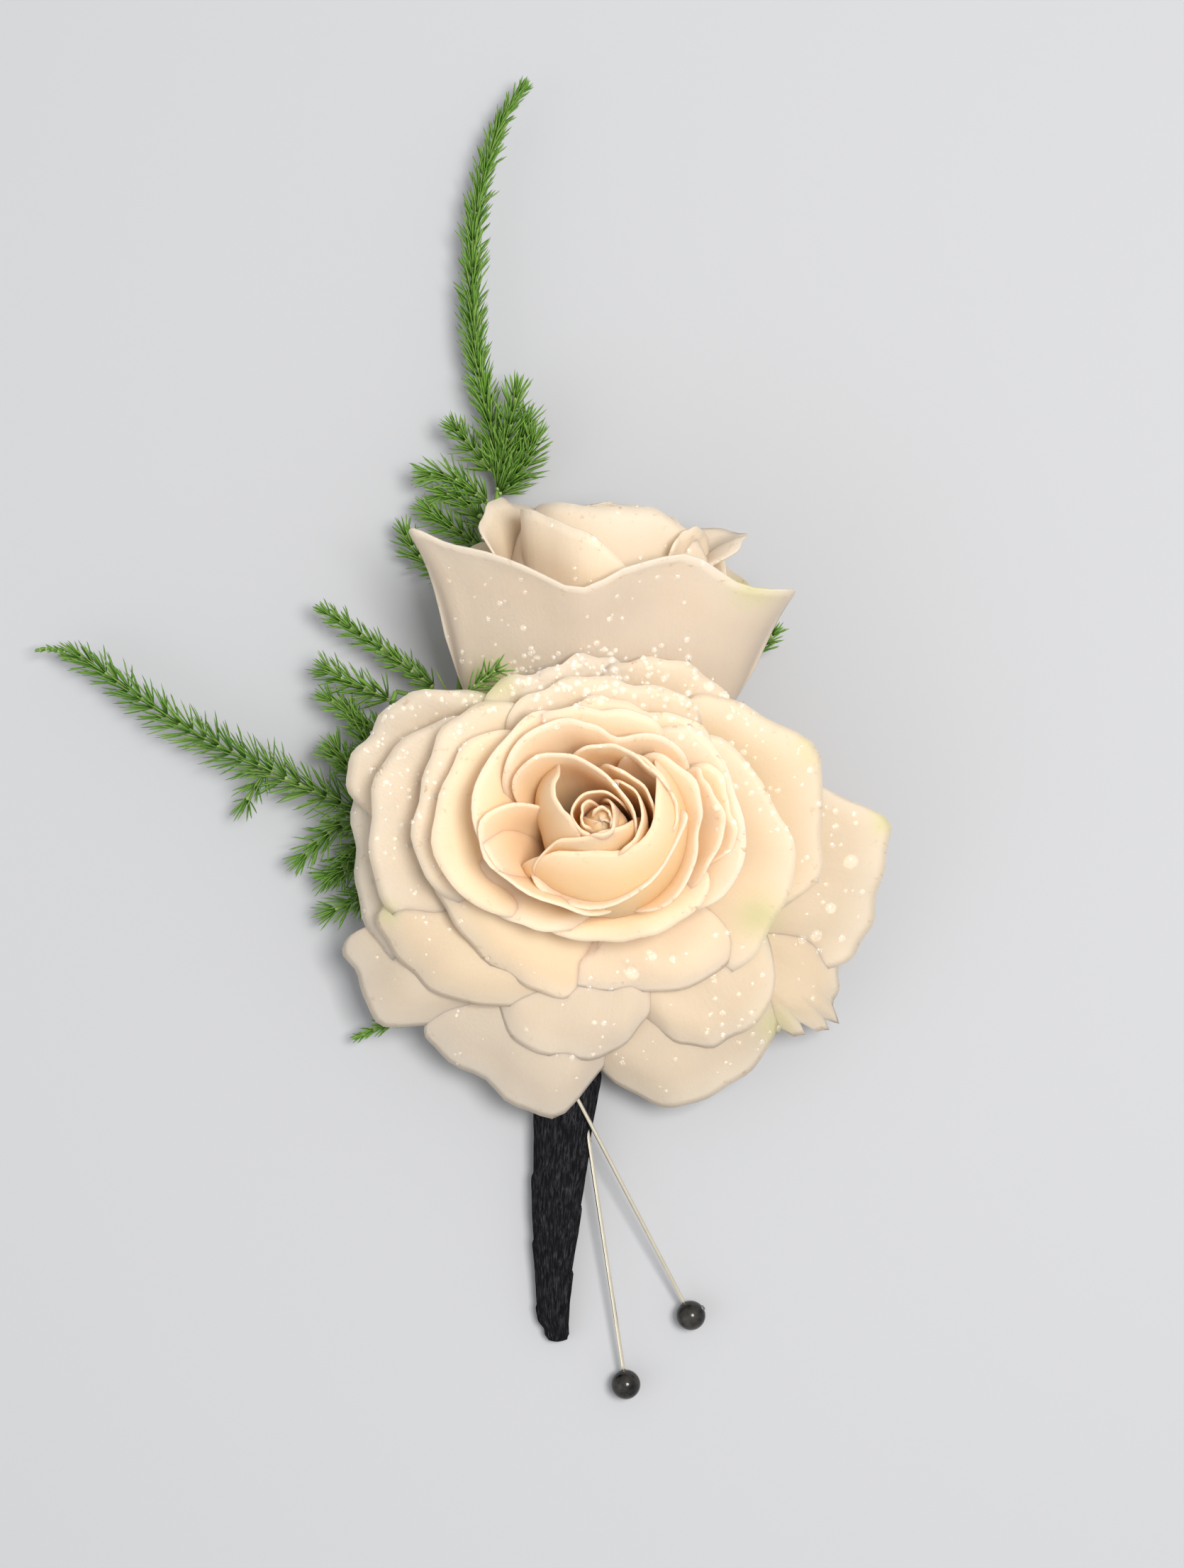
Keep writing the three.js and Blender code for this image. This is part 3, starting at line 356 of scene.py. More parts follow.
# Each ring is the shape that its petals share, then the petals, each as [rim, lip, its own shape]. The rim
# runs through places given as [azimuth, distance from the axis, height], and the root is [distance, height].
# lip and rise are the petal's slopes at the rim and the root in degrees.
FRONT_RINGS = [
    [dict(root=(4.5, 1), rise=20, tuck=0.8, roll=1.5, wave=0.6),
     ([(212, 30, -5.6), (220, 31.6, -8.6), (236, 29.7, -10.9), (252, 28.1, -12.1), (267, 21.1, -9.5)], -42,
      dict(rise=4, point=0.04, at=0.38)),
     ([(259, 23, -10.4), (289, 27.5, -13.4), (320, 26, -9)], -44, dict(rise=2)),
     ([(316, 26, -10), (328, 30.5, -12), (342, 28.5, -8)], -45, dict(rise=0, tuck=0, point=0.06, torn=0.1)),
     ([(190, 30.5, 0.3), (191, 35.5, -1.9), (198, 36.1, -4.1), (208, 34.5, -6.3), (216, 29.5, -7)], -36),
     ([(338, 28.9, -7.3), (348, 32.2, -5.4), (359, 32.2, -2.2), (370, 33.9, 2.2), (382, 26.6, 8.7)], -15,
      dict(point=0.03, at=0.38)),
     ([(152, 34, 12.5), (177, 32.8, 6), (200, 31, -0.5)], -10),
     ([(126, 21.5, 23), (147, 32, 18.5), (166, 34, 11)], 5),
     ([(38, 21.2, 17), (63, 23.2, 20.4), (90, 21.6, 22.2)], 42, dict(rise=56)),
     ([(82, 21.8, 22), (106, 21.8, 23.2), (132, 23, 23)], 42, dict(rise=56))],
    [dict(root=(4, 2), rise=34, tuck=0.7, roll=1.6, wave=0.5),
     ([(191, 31, 5.4), (201, 29.7, 2.6), (213, 26.3, 0.6), (227, 22, -0.2), (244, 17.5, -0.5)], -35,
      dict(rise=30)),
     ([(224, 22.7, -0.6), (236, 23.8, -2.9), (250, 23.2, -4.5), (266, 21.4, -4.6), (279, 18.5, -2.8)], -36,
      dict(rise=22)),
     ([(280, 18.4, -3.3), (290, 21.4, -4.7), (302, 23.8, -5.4), (316, 24.5, -3.8), (333, 21.7, 0.8)], -40,
      dict(rise=22)),
     ([(345, 20.6, 2.7), (357, 24.9, 5.2), (370, 26, 10), (384, 26.9, 14), (400, 24.4, 18.2),
       (414, 22.8, 20.8)], 5, dict(point=0.03, at=0.18)),
     ([(140, 24, 24), (168, 29.8, 16), (198, 26.5, 5.5)], 8),
     ([(56, 18.8, 23), (92, 18.4, 24.8), (128, 19.4, 25.8)], 45, dict(rise=58)),
     ([(148, 25, 17), (172, 28, 11), (197, 26, 3)], 2, dict(rise=26))],
    [dict(root=(3.6, 3), rise=44, tuck=0.6, roll=1.5, wave=0.5),
     ([(127, 21, 26), (158, 23.3, 22.5), (192, 22.5, 14.5)], 20),
     ([(184, 22.8, 15.5), (214, 19.8, 6.5), (248, 16.8, 1)], -22),
     ([(238, 15.5, 3), (277, 15.3, 2.8), (322, 18.8, 3)], -25, dict(rise=34)),
     ([(319, 19.8, 2.5), (340, 20.9, 8), (359, 22.1, 12.7), (378, 20.2, 18), (402, 18.2, 23)], 12),
     ([(40, 16.5, 25), (75, 15, 26.5), (113, 15.5, 27.5)], 50, dict(rise=60))],
    [dict(root=(3.2, 4), rise=54, tuck=0.6, roll=1.2, wave=0.4),
     ([(132, 16, 28), (170, 20.4, 23.3), (208, 17.3, 15.5)], 35),
     ([(188, 18, 18.4), (197, 17.6, 16.6), (207, 16, 14.7), (221, 13.8, 13.4), (241, 11.3, 12.6)], 5),
     ([(230, 12.2, 12.5), (256, 10.8, 12.7), (283, 11, 13.5), (309, 12.4, 14.9), (335, 14, 17.4)], 8),
     ([(330, 14.5, 17), (374, 16.3, 23.2), (420, 15, 26)], 40),
     ([(62, 13, 28.5), (106, 13.6, 29.3), (150, 15.5, 28.5)], 60)],
    [dict(root=(2.6, 5), rise=60, tuck=0.5, roll=0.8, wave=0.35),
     ([(112, 14, 30), (163, 14.8, 28.5), (210, 12.8, 22.5)], 60),
     ([(160, 7.4, 26.6), (168, 11, 27.6), (180, 13.6, 27.4), (194, 13.6, 25.6), (210, 12.3, 23.6),
       (234, 10.2, 21.8), (258, 9.3, 20.8)], 70),
     ([(208, 10, 21.8), (224, 9.2, 21.3), (252, 8.2, 21), (290, 8, 21.8), (326, 8.2, 23.3), (355, 8.8, 25.2),
       (369, 10, 26.3)], 60),
     ([(310, 10, 20.8), (339, 10.4, 22.2), (358, 11.1, 24), (373, 11.4, 25.9), (390, 11.2, 27.8),
       (412, 10.8, 29.4)], 65),
     ([(50, 12, 29.5), (77, 9.8, 29), (95, 10.6, 30.3), (112, 12, 31), (133, 13, 30.8), (151, 13.4, 29.6)],
      75),
     ([(337, 12, 19.7), (354, 13, 21.5), (368, 13.6, 23.5), (382, 13.4, 25.2), (393, 13, 26.5)], 62),
     ([(350, 13.8, 20.2), (359, 14.7, 21.6), (370, 15, 23.2), (381, 14.9, 24.9), (393, 14.5, 26.4)], 55)],
    [dict(root=(2.2, 6), rise=66, tuck=0.5, roll=0.2, wave=0.2),
     ([(0, 3.1, 27.8), (44, 3.4, 28.8), (77, 4.2, 29.6), (101, 5.8, 30.4), (118, 8, 30.9), (134, 10, 31),
       (150, 11.3, 30.4)], 85),
     ([(348, 7.2, 24.6), (365, 8, 26.1), (380, 8.4, 27.6), (401, 8.6, 29), (426, 8.4, 30)], 80),
     ([(205, 6.2, 24.9), (214, 4.8, 25.2), (250, 2.8, 25.3), (305, 3.4, 25.7), (337, 4.8, 26.2),
      (375, 6.3, 27.6), (400, 7.3, 29)], 150, dict(rise=26)),
     ([(24, 7.6, 29), (66, 7.8, 30.4), (108, 8.4, 31)], 92),
     ([(352, 5.3, 26), (370, 5.6, 27), (395, 5.7, 28), (420, 6, 28.9), (445, 6.4, 29.7)], 90)],
    [dict(root=(1.4, 8), rise=74, tuck=0.4, roll=0.1, wave=0.15),
     ([(206, 7.6, 25), (203, 6, 26.3), (204, 4.2, 27.3), (222, 2.4, 28), (260, 1.3, 28.4), (310, 1.3, 28.5),
       (350, 2, 28.6)], 118, dict(rise=66)),
     ([(130, 6.2, 29.6), (147, 5.6, 29.7), (162, 4.6, 29.3), (176, 3.2, 29), (210, 1.9, 28.6)], 132,
      dict(rise=30)),
     ([(300, 2.8, 26.8), (345, 4, 27.3), (390, 4.6, 28.4), (430, 4.8, 29.3)], 100),
     ([(60, 2.2, 29.2), (150, 2.9, 29.2), (240, 1.8, 28.8)], 100),
     ([(230, 1.5, 28.9), (330, 1.1, 28.8), (430, 2, 29.2)], 100),
     ([(110, 1.5, 29.1), (165, 1.9, 29.1), (220, 1.2, 28.9)], 95),
     ([(-40, 0.4, 28.9), (50, 0.8, 29), (140, 1.1, 29)], 95),
     ([(0, -0.4, 27.6), (90, -0.2, 27.6), (180, -0.4, 27.6)], 160, dict(root=(2.2, 20))),
     ([(180, -0.4, 27.2), (270, -0.3, 27.1), (360, -0.4, 27.2)], 160, dict(root=(2.2, 20)))],
]
BACK_RINGS = [
    [dict(root=(3, 1), rise=14, tuck=0.8, roll=0.5, wave=0.3),
     ([(199, 23.8, 33.8), (207, 21.2, 32.9), (221, 18.7, 33.1), (242, 16.8, 31.5), (263, 16.8, 29.6),
       (283, 16.3, 32.1), (306, 17.2, 33.3), (324, 20.3, 30.1), (340, 23.8, 28.6)], 47,
      dict(squareness=14, tuck=0, point=0.03, at=-0.74)),
     ([(6, 18.5, 26), (56, 17.5, 28), (108, 17.5, 28)], 70),
     ([(88, 17.5, 28), (140, 18, 29), (188, 17.5, 28)], 70)],
    [dict(root=(2.6, 2), rise=28, tuck=0.6, roll=0.5, wave=0.3),
     ([(134, 8.6, 34.8), (157, 11.4, 35.8), (182, 14.2, 36.2), (207, 16, 33)], 50, dict(rise=40)),
     ([(335, 14, 31), (352, 17.5, 33), (366, 17.5, 33.2), (380, 14, 33)], 15, dict(rise=60)),
     ([(20, 15.5, 31), (60, 14.5, 32), (104, 14.5, 32)], 75),
     ([(96, 14.5, 32), (145, 14, 32.5), (190, 13, 32)], 75)],
    [dict(root=(2.2, 5), rise=40, tuck=0.5, roll=0.2, wave=0.2),
     ([(182, 8, 36), (216, 11, 36.7), (242, 12.3, 36.5), (262, 13.6, 35.3), (284, 13.4, 32)], 88,
      dict(rise=58)),
     ([(306, 12.6, 33.5), (330, 12, 35), (352, 13.5, 33)], 75),
     ([(190, 7.6, 36), (224, 8, 37), (274, 7.5, 37.3), (312, 8.5, 37), (335, 11.2, 34.9)], 115,
      dict(rise=34)),
     ([(26, 10.5, 34), (80, 10, 34), (134, 9.5, 34.5)], 85),
     ([(116, 9.5, 34.5), (160, 9, 35), (205, 7.5, 35)], 85, dict(rise=58)),
     ([(-6, 7.5, 35), (60, 7, 35), (124, 7, 35)], 95),
     ([(226, 4.5, 36), (300, 4.5, 36), (374, 4.5, 36)], 98),
     ([(36, 4, 35.5), (110, 4, 35.5), (184, 4, 35.5)], 98),
     ([(180, 2, 36), (270, 2, 36), (360, 2, 36)], 98),
     ([(8, 2.2, 35.4), (95, 2.5, 35.7), (182, 2.1, 35.5)], 98),
     ([(60, 0.9, 35.3), (150, 1.1, 35.4), (240, 0.9, 35.2)], 108),
     ([(200, 0.3, 35), (290, 0.6, 35.1), (380, 0.4, 34.9)], 118),
     ([(0, -0.5, 33.8), (90, -0.3, 33.8), (180, -0.5, 33.8)], 160, dict(root=(2.2, 24))),
     ([(180, -0.5, 33.4), (270, -0.4, 33.3), (360, -0.5, 33.4)], 160, dict(root=(2.2, 24)))],
]
# how the back rose is pressed, by height up its own axis: the room above it, its waist and its floor
ROOM_LEAST = 3
ROOM_AT_BASE = 4.4
ROOM_SLOPE = 0.455
FLARE = 0.05
FLARE_FROM = 13
WAIST_SHARE = 0.35
WAIST_HEIGHT = 4
WAIST_LENGTH = 9
FLOOR_AT_BASE = 11.0
FLOOR_SLOPE = 0.269
# how much deeper in the heart a petal's root is than its ring, and the back rose's share of the peach
ROOT_DEPTH = 0.35
DEEPEST = 1.3
BACK_PEACH = 0.24
TONES = 5
# marks on the petals as [x, y, size]
GREEN_TIPS = [(53.1, -10.2, 1.5), (43, -1.8, 1.2), (39.9, -35.6, 2), (36.7, 18, 2.2), (37.4, -21.6, 2.6),
              (-7.5, -21.4, 1.2), (5.2, 6.6, 2.6)]
BROWN_MARKS = [(26.4, 11.6, 0.7), (27.6, 11, 0.6), (15.6, 3.2, 0.6), (31.6, -2.2, 0.7), (36.6, -7.6, 0.5),
               (34.6, -24.4, 0.7), (20.6, -30.2, 0.5)]


def pressed_back(points):
    """The back rose is pressed flat against the front rose and on the table. Its own -Y looks up."""
    x, y, h = points[..., 0], points[..., 1], points[..., 2]
    room = ROOM_AT_BASE + ROOM_SLOPE * h + FLARE * np.maximum(0, h - FLARE_FROM) ** 2
    above = y / (1 + (np.maximum(0, -y) / np.maximum(ROOM_LEAST, room)) ** 4) ** 0.25
    below = y * (1 - WAIST_SHARE * np.exp(-(((h - WAIST_HEIGHT) / WAIST_LENGTH) ** 2)))
    below = np.minimum(below, FLOOR_AT_BASE + FLOOR_SLOPE * h)
    return np.stack([x, np.where(y < 0, above, below), h], axis=-1)


def rim_value(values, t, beyond):
    """The rim's value at t, on a smooth curve through the values, which run from one corner to the other.
    beyond is the share of the last step that goes on past each corner."""
    last = len(values) - 1
    if last == 2:
        a, b, c = values
        u = t / CORNER
        return b + (c - a) / 2 * u + ((a + c) / 2 - b) * u * u
    first_step = beyond * (values[1] - values[0])
    last_step = beyond * (values[-1] - values[-2])
    v = np.array([values[0] - 2 * first_step, values[0] - first_step, *values, values[-1] + last_step,
                  values[-1] + 2 * last_step])
    place = (t / CORNER + 1) / 2 * last + 2
    k = np.clip(np.floor(place).astype(int), 1, last + 2)
    return curve_between(v[k - 1], v[k], v[k + 1], v[k + 2], place - k)


def sloping(degrees):
    """The direction with that slope, as [away from the axis, up]."""
    return np.array([math.cos(math.radians(degrees)), math.sin(math.radians(degrees))])


def petal_surface(rim, lip, root, rise, tuck, roll, wave, phase, point=0.0, at=0.0, torn=0.0, squareness=7.0):
    """The middle of a petal's sheet as points [column, row] round the rose's own upright axis."""
    t = -np.cos(np.linspace(0, np.pi, PETAL_COLUMNS + 1))[:, None] * LAST_COLUMN
    rho = np.linspace(0, 1, PETAL_ROWS + 1)[None, :] ** ROW_CROWDING
    azimuth, reach, height = (rim_value([place[k] for place in rim], t, PAST_CORNER[k]) for k in range(3))
    azimuth = np.radians(azimuth)
    root = np.array(root, float)
    rolled = roll * (1 + ROLL_CHANGE * np.sin(3.1 * t + 2.3 * phase))
    tip = np.hstack([reach, height]) + (rolled - ROLL_IN_RIM) * sloping(lip + 90)
    length = np.linalg.norm(tip - root, axis=1)[:, None]
    outward = root + ROOT_HOLD * length * sloping(rise)
    inward = tip - RIM_HOLD * length * sloping(lip)
    drawn = 1 + point * np.exp(-(((t - at) / POINT_WIDTH) ** 2)) - wave * RIM_LOSS
    for share, across, by_phase in RIM_WAVES:
        drawn += wave * share * np.sin(across * t + by_phase * phase)
    drawn -= torn * np.maximum(0, np.sin(21 * t + 1.2)) ** 3 * (t < 0.1)
    outline = CLAW + (1 - CLAW) * np.sqrt(1 - np.abs(t) ** squareness)
    way = np.minimum(outline * drawn, MOST_REACH) * rho

    def profile(share):
        f = share[..., None]
        q = 1 - f
        ends = q**3 * root + f**3 * tip[:, None]
        return ends + 3 * q * q * f * outward[:, None] + 3 * q * f * f * inward[:, None]

    place = profile(way)
    slope = unit(profile(way + 0.01) - profile(way - 0.01))
    ripple = DIMPLE_SHARE * np.sin(8 * rho + 4 * t + 3 * phase) * np.sin(5 * t - phase)
    for share, across, along, by_phase, growth in RIPPLES:
        ripple += share * np.sin(across * t + along * rho + by_phase * phase) * rho**growth
    curl = np.maximum(0, rho - ROLL_FROM) / (1 - ROLL_FROM)
    offset = tuck * t * np.minimum(1, TUCK_RATE * rho) - rolled * curl**ROLL_POWER + wave * ripple
    r = place[..., 0] - slope[..., 1] * offset
    h = place[..., 1] + slope[..., 0] * offset
    return np.stack([r * np.cos(azimuth), r * np.sin(azimuth), h], axis=-1)


def bloom_parts(rings, rose, press, peach):
    """Every petal of a rose as open sheets on the table's axes, and by point how deep in the heart it is, the
    petal's own tone, and how green or brown a tip or bruise makes it."""
    base, axes = rose_axes(rose)
    rows = PETAL_ROWS + 1
    along, across = np.meshgrid(np.linspace(0, 1, rows), np.linspace(0, 1, PETAL_COLUMNS + 1))
    sheet = np.stack([across.ravel(), along.ravel()], axis=1)
    faces = [(i * rows + j, (i + 1) * rows + j, (i + 1) * rows + j + 1, i * rows + j + 1)
             for i in range(PETAL_COLUMNS) for j in range(PETAL_ROWS)]
    parts, depth, tone, marks = [], [], [], []
    for number, (common, *petals) in enumerate(rings):
        for k, (rim, lip, *own) in enumerate(petals):
            shape = dict(common, phase=1.7 * k + 0.9 * number)
            for change in own:
                shape.update(change)
            points = base + press(petal_surface(rim, lip, **shape)).reshape(-1, 3) @ axes
            parts.append((points, faces, sheet))
            marks.append([sum(np.exp(-(((points[:, 0] - x) ** 2 + (points[:, 1] - y) ** 2) / size**2))
                              for x, y, size in places) for places in (GREEN_TIPS, BROWN_MARKS)])
            inside = number / (len(rings) - 1) + ROOT_DEPTH * (1 - sheet[:, 1]) * (number > 1)
            depth.append(peach * np.clip(inside, 0, DEEPEST))
            tone.append(np.full(len(points), (7 * k + 3 * number) % TONES / (TONES - 1)))
    green, brown = np.clip(np.concatenate(marks, axis=1), 0, 1)
    values = (np.concatenate(depth), np.concatenate(tone), green, brown)
    return parts, list(zip(("depth", "tone", "green", "brown"), values))


def by_point(tree, name):
    """The value that each point of the piece has under that name."""
    return node(tree, "ShaderNodeAttribute", {"attribute_name": name}).outputs["Fac"]


def show_both(tree, share, first, second):
    """Makes the surface of one shader with a share of a second one."""
    both = node(tree, "ShaderNodeMixShader", Fac=share, i1=first.outputs["BSDF"], i2=second.outputs["BSDF"])
    tree.links.new(both.outputs["Shader"], tree.nodes["Material Output"].inputs["Surface"])


petal_cream, tree, shader = new_finish(
    "rose petal cream", Roughness=0.62, Subsurface_Weight=0.5, Subsurface_Radius=(1.0, 0.85, 0.7),
    Subsurface_Scale=0.0006, Sheen_Weight=0.12, Specular_IOR_Level=0.25)
# from the outer petals to the heart
ramp = node(tree, "ShaderNodeValToRGB", Fac=by_point(tree, "depth"))
ramp.color_ramp.elements[0].color = (0.80, 0.70, 0.57, 1)
ramp.color_ramp.elements[1].color = (1.0, 0.77, 0.46, 1)
for position, colour in ((0.3, (0.91, 0.785, 0.61, 1)), (0.65, (1.0, 0.83, 0.61, 1))):
    ramp.color_ramp.elements.new(position).color = colour
toned = mixed(tree, by_point(tree, "tone"), (0.93, 0.93, 0.97, 1), (1.0, 0.94, 0.84, 1))
shaded = mixed(tree, 0.6, ramp.outputs["Color"], toned, "MULTIPLY")
# paler towards the rim, partly the thin edge's own lighter cream and partly a painted highlight along the
# rim; cloudy, and green at some tips
rimward = on_strip(tree)["Y"]
pale = mixed(tree, stretched(tree, rimward, 0.8, 1.0, 0.45), shaded, (0.95, 0.89, 0.80, 1))
clouded = mottled(tree, pale, (0.86, 0.72, 0.55, 1), scale=120.0, amount=0.2)
tinged = mixed(tree, by_point(tree, "green"), clouded, (0.76, 0.72, 0.45, 1))
# brown specks at the very rim and in the bruises
withered = stretched(tree, rimward, 0.88, 1.0, 0.5)
spoilt = maths(tree, "ADD", withered, by_point(tree, "brown"), clamp=True)
specks = maths(tree, "MULTIPLY", spoilt, stretched(tree, cloudy(tree, 850.0, 3.0, 0.7), 0.60, 0.72))
petal_colour = mixed(tree, specks, tinged, (0.50, 0.27, 0.09, 1))
velvet = cloudy(tree, 2600.0, 2.0, 0.6)
skin = maths(tree, "MULTIPLY_ADD", velvet, 0.5, ribbed(tree, count=34.0, wander=0.5, stretch=0.12))
dress(tree, shader, petal_colour, skin, strength=0.16, distance=0.0005)
show_both(tree, 0.45, shader, node(tree, "ShaderNodeBsdfTranslucent", Color=petal_colour))

blooms = []
for label, rings, rose, press, peach in (
        ("front", FRONT_RINGS, FRONT_ROSE, lambda points: points, 1),
        ("back", BACK_RINGS, BACK_ROSE, pressed_back, BACK_PEACH)):
    bloom = new_piece(f"{label}_rose_petals", petal_cream, *bloom_parts(rings, rose, press, peach))
    sheet = bloom.modifiers.new("thickness", "SOLIDIFY")
    sheet.thickness = PETAL_THICKNESS * MM
    sheet.offset = 0
    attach(bloom, "root")
    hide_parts(f"rose_{label}_petals")
    blooms.append(bloom)

# Fern: fronds of asparagus fern, wiry green stems with side sprigs that carry tufts of soft needles.
# Each tuft fans out from a pale knot on the twig, leans towards its tip and is smaller near the end.
FROND_RADII = (0.5, 0.32)
FROND_STEPS = 80
FROND_AROUND = 10
BARE_RADII = (0.3, 0.24)
BARE_STEPS = 40
TWIG_RADII = (0.26, 0.1)
TWIG_AROUND = 7
KNOT_STEPS = 6
KNOT_WIDTH = 0.8
KNOT_SWELLING = 0.12
# how pale the stems, the twigs and the knots are, and the palest needle
STEM_PALENESS = 0.2
TWIG_PALENESS = 0.35
KNOT_PALENESS = 0.6
NEEDLE_PALENESS = 0.3
NEEDLE_RADIUS = 0.12
# a needle's rings, as [share of its length, share of its radius]
NEEDLE_RINGS = ((0, 0.8), (0.35, 1.0), (0.8, 0.85))
NEEDLE_BOW = 0.14
LEAN_SPREAD = 11
LEAN_LIMITS = (6, 78)
LEAN_LOSS_AT_TIP = 18
LENGTH_LOSS_AT_TIP = 0.4
TIP_HEIGHT = 0.4
# a sprig is [places, needle length, lean from the twig in degrees, gap between tufts, needles in a tuft]
UPPER_FROND = dict(
    stem=[(14.5, -39, 5.4), (12.4, -31, 6.4), (9.2, -24, 5.8), (4.5, -12, 3.8), (0.5, 2, 2.6), (1.2, 14, 2.4),
          (4, 25, 3.4), (5.6, 33, 5)],
    sprigs=[
        ([(5.6, 33, 5), (4.4, 39.8, 5.4), (2.6, 48, 5.6), (2.1, 57, 5.6), (2.6, 66.7, 5.6), (5.1, 76.6, 5.4),
          (8.4, 82.6, 5.2)], 3.4, 38, 1.15, 18),
        ([(5.1, 33, 5), (6.8, 39.5, 7), (7.9, 44.2, 8)], 4.2, 38, 1.7, 20),
        ([(5.5, 31, 5), (8.8, 35, 6), (10.1, 38.2, 7)], 4.2, 42, 1.6, 20),
        ([(5.2, 31.5, 5), (7.4, 36, 5.6), (9.2, 41, 6.4)], 4, 40, 1.7, 18),
        ([(4.4, 34, 5), (1, 38, 6), (-0.6, 39.8, 7)], 3.2, 46, 1.6, 18),
        ([(4, 30, 5), (-0.5, 33, 6), (-4.4, 33.5, 6.5)], 3.6, 44, 1.6, 18),
        ([(4.2, 27, 4.4), (0.4, 30.6, 5), (-2.6, 31, 5.6)], 3.6, 44, 1.6, 18),
        ([(3.4, 24, 3.6), (-0.6, 27, 4.5), (-4.2, 29.3, 5)], 3.6, 44, 1.6, 18),
        ([(2.2, 19.5, 3.2), (-4.5, 23, 4), (-6.9, 27, 4.5)], 3.2, 44, 1.6, 18)],
    bare=[])
LEFT_FROND = dict(
    stem=[(11.3, -39, 5.4), (8.2, -33, 5.8), (2, -26, 5), (-5, -18.5, 5), (-9, -10, 5.2), (-9.6, -1, 5.6),
          (-7.6, 6, 6)],
    sprigs=[
        ([(-9, -10, 5.2), (-14.8, -7.9, 5.6), (-25.7, -3, 6), (-35.3, 2.1, 6), (-45.3, 9, 5.6),
         (-49, 11, 5.4)], 4.6, 50, 1.9, 20),
        ([(-49.4, 11, 5.4), (-51.5, 11.4, 5.3), (-53.3, 11.2, 5.2)], 0.9, 26, 0.8, 6),
        ([(-24, -3.8, 6), (-25.8, -6.4, 5), (-27.2, -9.2, 4.4)], 3.2, 42, 2, 14),
        ([(-2.8, 6.6, 6), (-10.3, 12, 6.4), (-17, 16.4, 6.5)], 3, 40, 1.6, 18),
        ([(-8.4, 5, 6), (-13, 7, 6.4), (-17, 9, 6.4)], 3.6, 44, 1.5, 20),
        ([(-9.4, 0.5, 5.7), (-13, 3, 6.2), (-16.8, 5.7, 6.4)], 3.2, 42, 1.7, 18),
        ([(-9.4, -3, 5.6), (-11.8, 0.6, 6.2), (-13.6, 4.2, 6.4)], 3.4, 42, 1.7, 18),
        ([(-9.8, -7.5, 5.4), (-12.6, -4.6, 6), (-15.6, -0.4, 6.3)], 3.6, 42, 1.8, 18),
        ([(-9.6, -1.5, 5.6), (-13.5, -3, 6), (-16.8, -1.4, 6.4)], 3.2, 42, 1.9, 17),
        ([(-8.6, -11.5, 5.2), (-14, -10.6, 5.2), (-20.2, -15.6, 4.8)], 3.9, 44, 1.9, 18),
        ([(-9.2, -11, 5.2), (-12.4, -13.4, 5), (-15.4, -17.6, 4.8)], 3.9, 44, 1.9, 18),
        ([(-7.4, -14, 5.1), (-12.8, -16, 5), (-17.2, -17.8, 4.8)], 3.9, 44, 1.9, 18),
        ([(-7.8, -13, 5.1), (-10.4, -16.6, 5), (-12.6, -21, 4.8)], 3.9, 44, 1.9, 18),
        ([(-5.4, -18, 5), (-11.5, -20, 5), (-16.8, -22.2, 4.8)], 3.9, 44, 1.9, 18),
        ([(4.6, -28.6, 5), (-4, -34, 4.4), (-13, -38, 4)], 2.4, 32, 1.6, 11),
        ([(2.4, 5.4, 26.6), (4.4, 7, 28.4), (6.3, 8.3, 29.8)], 2.8, 44, 1.1, 7)],
    # the second of these bare twigs carries the last sprig, up the gap between the two roses
    bare=[[(-7.6, 6, 6), (-5, 5.6, 6), (-2.8, 6.6, 6)],
          [(-8.2, 4.5, 5.9), (-5, 4.8, 11), (-1.6, 4.8, 18), (0.8, 4.9, 23.5), (2.4, 5.4, 26.6)]])
RIGHT_FROND = dict(
    stem=[(18, -39, 5.3), (20.4, -33, 5.5), (25.8, -24, 4.6), (29.5, -10, 3.4), (33.4, 1, 3), (36.4, 8, 3.8)],
    sprigs=[
        ([(38.2, 11, 4.4), (39.5, 12.6, 4.8), (40.6, 14, 5.2)], 2.4, 42, 1.5, 18),
        ([(33.9, 3.2, 3.2), (34.2, 4.8, 3.6), (34.3, 6.4, 4)], 1.2, 42, 1.6, 16)],
    bare=[[(36, 7.4, 3.7), (37.1, 9.2, 4.1), (38.2, 11, 4.4)]])
draw = random.Random(31)


def needle_mesh(root, out, towards, length):
    """The points of a soft three-sided needle that curves towards the sprig's tip."""
    side = unit(np.cross(out, towards))
    up = np.cross(side, out)
    bow = towards * NEEDLE_BOW * length
    points = []
    for share, thick in NEEDLE_RINGS:
        middle = root + out * length * share + bow * share**2
        for turn in (0, 2 * math.pi / 3, 4 * math.pi / 3):
            points.append(middle + NEEDLE_RADIUS * thick * (side * math.cos(turn) + up * math.sin(turn)))
    points.append(root + out * length + bow)
    return np.array(points)


NEEDLE_FACES = [(2, 1, 0)]
NEEDLE_FACES += [(r + j, r + (j + 1) % 3, r + 3 + (j + 1) % 3, r + 3 + j) for r in (0, 3) for j in range(3)]
NEEDLE_FACES += [(6 + j, 6 + (j + 1) % 3, 9) for j in range(3)]
NEEDLE_UV = np.array([(j / 3, share) for share, _ in NEEDLE_RINGS for j in range(3)] + [(0.5, 1.0)])


